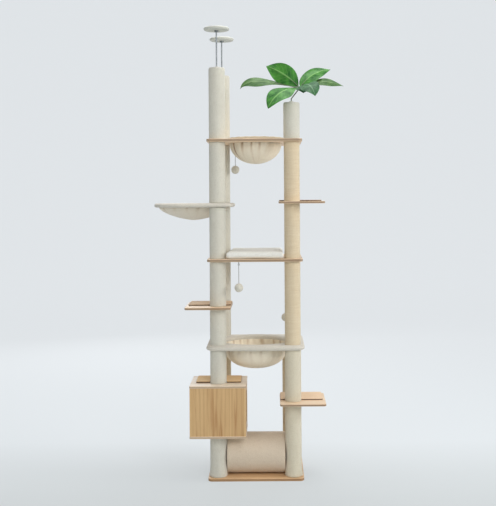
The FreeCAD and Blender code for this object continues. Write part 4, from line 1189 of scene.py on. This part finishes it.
# Each leaf: compass angle from +X, pitch at the hub, pitch at the tip, bare stalk, blade, width, roll, how
# far along the blade it is widest, its bend (1 is even, more sits nearer to the tip) and its finish.
# Angles are in degrees, lengths in millimetres.
LEAVES = (
    (176.0, 12.0, -62.0, 84.0, 258.0, 80.0, -42.0, 0.6, 5.0, LEAF_DULL),
    (151.0, 47.0, 19.0, 10.0, 240.0, 114.0, -75.0, 0.5, 1.0, LEAF_GREEN),
    (213.0, 4.0, -64.0, 10.0, 244.0, 132.0, -24.0, 0.52, 1.0, LEAF_GREEN),
    (26.0, 56.0, 4.0, 8.0, 222.0, 88.0, 46.0, 0.42, 1.0, LEAF_GREEN),
    (8.0, 30.0, -24.0, 60.0, 192.0, 60.0, 46.0, 0.44, 1.0, LEAF_DULL),
    (-62.0, 30.0, -70.0, 12.0, 186.0, 104.0, 22.0, 0.5, 1.0, LEAF_DARK),
    (-74.0, 6.0, -60.0, 8.0, 72.0, 64.0, 0.0, 0.5, 1.0, LEAF_DARK),
)
LEAF_ROWS = 40
LEAF_COLUMNS = 16
LEAF_BLUNTNESS = 0.9     # below 1 a blade is fuller towards its ends
LEAF_FOLD = 0.16         # rise of the two halves from the midrib, and how that flattens to the edges
LEAF_FLATTENING = 0.05
LEAF_WAVE = 0.045        # height of the wavy edge, as a share of the width
VEIN_HEIGHT = 0.9
LEAF_LEAST = 0.6         # half width that is left at both ends of a blade
LEAF_THICKNESS = 0.9 * MM
STALK_RADIUS = 2.4 * MM
RIB_STEPS = 60
HUB_INSET = 9 * MM       # the stalks meet this far inside the stem's upper end


def blade_width(share, widest):
    """Half width of a leaf along its blade, as a share of its half width at the widest place."""
    power = math.log(0.5) / math.log(widest)
    return max(0.0, math.sin(math.pi * share ** power)) ** LEAF_BLUNTNESS


def make_leaf(index, hub, compass, pitch_low, pitch_high, stalk, blade, width, roll, widest, bend, finish):
    """A folded blade with raised ribs and a wavy edge, on a round stalk that springs from the hub."""
    heading = Vector((math.cos(math.radians(compass)), math.sin(math.radians(compass)), 0))
    across = Vector((-heading.y, heading.x, 0))
    length = stalk + blade

    def midrib(distance):
        """The place and the direction of the leaf's line, this many millimetres from the hub."""
        place = hub.copy()
        for step in range(RIB_STEPS):
            share = distance / length * (step + 0.5) / RIB_STEPS
            pitch = math.radians(pitch_low + (pitch_high - pitch_low) * share ** bend)
            along = heading * math.cos(pitch) + Vector((0, 0, math.sin(pitch)))
            place += along * (distance / RIB_STEPS * MM)
        return place, along

    deselect()
    bpy.ops.mesh.primitive_grid_add(x_subdivisions=LEAF_COLUMNS, y_subdivisions=LEAF_ROWS, size=1)
    leaf = started("leaf_%d" % (index + 1))
    leaf.data.uv_layers.active.name = "leaf"
    for vertex in leaf.data.vertices:
        share = vertex.co.y + 0.5
        side = 2 * vertex.co.x
        point, along = midrib(stalk + blade * share)
        sideways = Matrix.Rotation(math.radians(roll), 3, along) @ across
        up = sideways.cross(along)
        half = width / 2 * blade_width(share, widest) + LEAF_LEAST
        rise = LEAF_FOLD * abs(side) * half - LEAF_FLATTENING * side * side * half
        rise += LEAF_WAVE * width * side * side * math.sin(9 * share + 2.4 * side + index)
        rise += VEIN_HEIGHT * abs(math.sin(13 * (share - 0.27 * abs(side)))) * (1 - abs(side))
        vertex.co = point + (sideways * side * half + up * rise) * MM
    sheet = leaf.modifiers.new("thickness", "SOLIDIFY")
    sheet.thickness = LEAF_THICKNESS
    sheet.offset = 0
    apply_modifiers(leaf)
    reach = stalk + 0.3 * blade
    stations = [reach * step / 6 for step in range(7)]
    controls = [(midrib(distance)[0], 1.0 - 0.6 * distance / reach) for distance in stations]
    rod = to_mesh(smooth_rod("stalk", controls, STALK_RADIUS, roundness=3))
    leaf.data.materials.append(finish)
    rod.data.materials.append(STEM_PLASTIC)
    piece = join("leaf_%d" % (index + 1), [leaf, rod])
    dress(piece, None, body="plant", nodes=["plant_leaves"])


def make_plant():
    low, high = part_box("plant_stem")
    hub = Vector((high.x - HUB_INSET, (low.y + high.y) / 2, high.z - HUB_INSET))
    for index, leaf in enumerate(LEAVES):
        make_leaf(index, hub, *leaf)


make_post_covers()
make_lower_hammock()
make_side_hammock()
make_top_bowl()
make_cushion()
make_mats()
make_tunnel()
make_pads()
make_toys()
make_plant()


# Finishes of the solids that stay

FINISHES = {
    SHADED_BASE_PINE: ("base_board",),
    BOARD_PINE: ("top_shelf_board", "mid_shelf_board", "left_step_board", "lower_right_step_board",
                 "upper_right_step_board"),
    BOX_FRONT_PINE: ("box_front_panel", "box_back_panel"),
    BOX_SIDE_PINE: ("box_left_panel", "box_right_panel"),
    BOX_LID_PINE: ("box_floor", "box_roof"),
    HIDDEN_PINE: ("post_end_plugs", "box_dowels", "lower_hammock_board", "side_hammock_board"),
    KRAFT: ("post_core_tubes", "tunnel_tube"),
    ZINC: ("steel_fasteners", "top_bowl_hoop"),
    EYE_STEEL: ("toy_eyes",),
    ROD_STEEL: ("front_ceiling_rod", "rear_ceiling_rod"),
    SOCKET_PLASTIC: ("post_top_sockets",),
    STEM_PLASTIC: ("plant_stem",),
}
for finish, names in FINISHES.items():
    for name in names:
        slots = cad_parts[name].data.materials
        slots.clear()
        slots.append(finish)


# Stage, light and camera

# Paper tones, from 1 m in front of the tree's middle to 9 m behind it, darker towards the camera as painted
# shade
PAPER = ((0.0, (202, 207, 208)), (0.09, (214, 219, 221)), (0.16, (226, 231, 234)), (0.6, (238, 242, 245)),
         (0.9, (240, 244, 247)), (1.0, (240, 244, 247)))
PAPER_START = 1.0
PAPER_RUN = 10.0
BACKDROP = (222, 227, 230)
PAPER_GLOW = 0.72         # how much of the paper's tone the camera sees unlit
PLAIN_PAPER_AHEAD = 2.5   # metres from the tree's middle where the paper starts to take the backdrop's tone
PLAIN_PAPER_ASIDE = 5.0
PLAIN_PAPER_BLEND = 4.0
SWEEP_WIDTH = 40
SWEEP_DEPTH = 24
SWEEP_HEIGHT = 14
SWEEP_BEND = 6
SKY = (0.94, 0.97, 1.0, 1)
SKY_STRENGTH = 0.45
# Each lamp: its name, its place, the height on the tree that it points at, its width and its power
LAMPS = (("key", (1.8, -4.4, 3.2), 1.3, 2.4, 78), ("side", (4.2, -1.1, 2.4), 1.3, 1.8, 68),
         ("fill", (-2.6, -4.0, 2.0), 1.2, 2.6, 22), ("top", (0.3, 0.2, 5.0), 1.0, 2.5, 105),
         ("back", (-1.6, 4.6, 2.6), 1.2, 2.4, 48))


def select_edges(piece, wanted):
    """Selects the edges of a piece in edit mode whose two ends are wanted."""
    bpy.ops.mesh.select_all(action="DESELECT")
    bpy.ops.object.mode_set(mode="OBJECT")
    points = piece.data.vertices
    for edge in piece.data.edges:
        edge.select = all(wanted(points[index].co) for index in edge.vertices)
    bpy.ops.object.mode_set(mode="EDIT")


def show_plain(tree, share, lit, plain, output):
    """Shows a plain shader in place of a lit one, by a share, to the camera and in gloss."""
    path = node(tree, "LightPath").outputs
    seen = calc(tree, "MAXIMUM", path["Is Camera Ray"], path["Is Glossy Ray"])
    blend = node(tree, "MixShader", {0: calc(tree, "MULTIPLY", seen, share), 1: lit, 2: plain})
    feed(tree, tree.nodes[output].inputs["Surface"], blend.outputs[0])


def make_stage():
    """A pale sweep: a floor that bends up into a backdrop far behind."""
    deselect()
    bpy.ops.mesh.primitive_plane_add(size=1)
    floor = started("studio_sweep")
    edit(floor)
    bpy.ops.transform.resize(value=(SWEEP_WIDTH, SWEEP_DEPTH, 1))
    select_edges(floor, lambda point: point.y > 0)
    bpy.ops.mesh.extrude_region_move(TRANSFORM_OT_translate={"value": (0, 0, SWEEP_HEIGHT)})
    select_edges(floor, lambda point: point.y > 0 and point.z < 1)
    bpy.ops.mesh.bevel(offset=SWEEP_BEND, segments=16, affect="EDGES")
    bpy.ops.object.mode_set(mode="OBJECT")
    bpy.ops.object.shade_smooth()
    made, tree, shader = material("studio paper", Roughness=0.9)
    place = axes(tree, placed(tree))
    back = calc(tree, "DIVIDE", calc(tree, "ADD", place["Y"], PAPER_START), PAPER_RUN)
    paper = ramp(tree, back, [(share, srgb(*colour)) for share, colour in PAPER])
    ahead = calc(tree, "SUBTRACT", calc(tree, "MULTIPLY", place["Y"], -1.0), PLAIN_PAPER_AHEAD)
    aside = calc(tree, "SUBTRACT", calc(tree, "ABSOLUTE", place["X"]), PLAIN_PAPER_ASIDE)
    beyond = calc(tree, "DIVIDE", calc(tree, "MAXIMUM", ahead, aside), PLAIN_PAPER_BLEND)
    far = ramp(tree, beyond, ((0.0, 0.0), (1.0, 1.0)))
    tone = mix(tree, far, paper, srgb(*BACKDROP))
    fill(tree, shader, Base_Color=tone)
    glow = node(tree, "Emission", {"Color": tone, "Strength": 1.0})
    show_plain(tree, ramp(tree, far, ((0.0, PAPER_GLOW), (1.0, 1.0))),
               tree.nodes["Principled BSDF"].outputs[0], glow.outputs[0], "Material Output")
    floor.data.materials.append(made)


def make_light():
    """A soft sky and five round lamps; the camera sees the backdrop's tone where nothing stands."""
    world = bpy.data.worlds.new("studio")
    bpy.context.scene.world = world
    world.use_nodes = True
    tree = world.node_tree
    sky = tree.nodes["Background"]
    fill(tree, sky.inputs, Color=SKY, Strength=SKY_STRENGTH)
    paper = node(tree, "Background", {"Color": srgb(*BACKDROP), "Strength": 1.0})
    show_plain(tree, 1.0, sky.outputs[0], paper.outputs[0], "World Output")
    for name, place, aim, size, power in LAMPS:
        data = bpy.data.lights.new(name, "AREA")
        data.shape = "DISK"
        data.size = size
        data.energy = power
        light = bpy.data.objects.new(name, data)
        light.location = place
        light.rotation_euler = (Vector((0, 0, aim)) - Vector(place)).to_track_quat("-Z", "Y").to_euler()
        bpy.context.collection.objects.link(light)


def make_camera():
    data = bpy.data.cameras.new("photo camera")
    data.sensor_width = SENSOR
    data.lens = FOCAL_PIXELS * SENSOR / PHOTO_HEIGHT
    data.shift_x = (PHOTO_WIDTH / 2 - PRINCIPAL_X) / PHOTO_HEIGHT
    data.shift_y = (HORIZON_Y - PHOTO_HEIGHT / 2) / PHOTO_HEIGHT
    data.clip_end = 100
    camera = bpy.data.objects.new("photo camera", data)
    camera.location = CAMERA_PLACE
    camera.rotation_euler = (math.pi / 2, math.radians(CAMERA_ROLL), 0)
    bpy.context.collection.objects.link(camera)
    bpy.context.scene.camera = camera


make_stage()
make_light()
make_camera()
bpy.context.scene.view_settings.view_transform = "Standard"
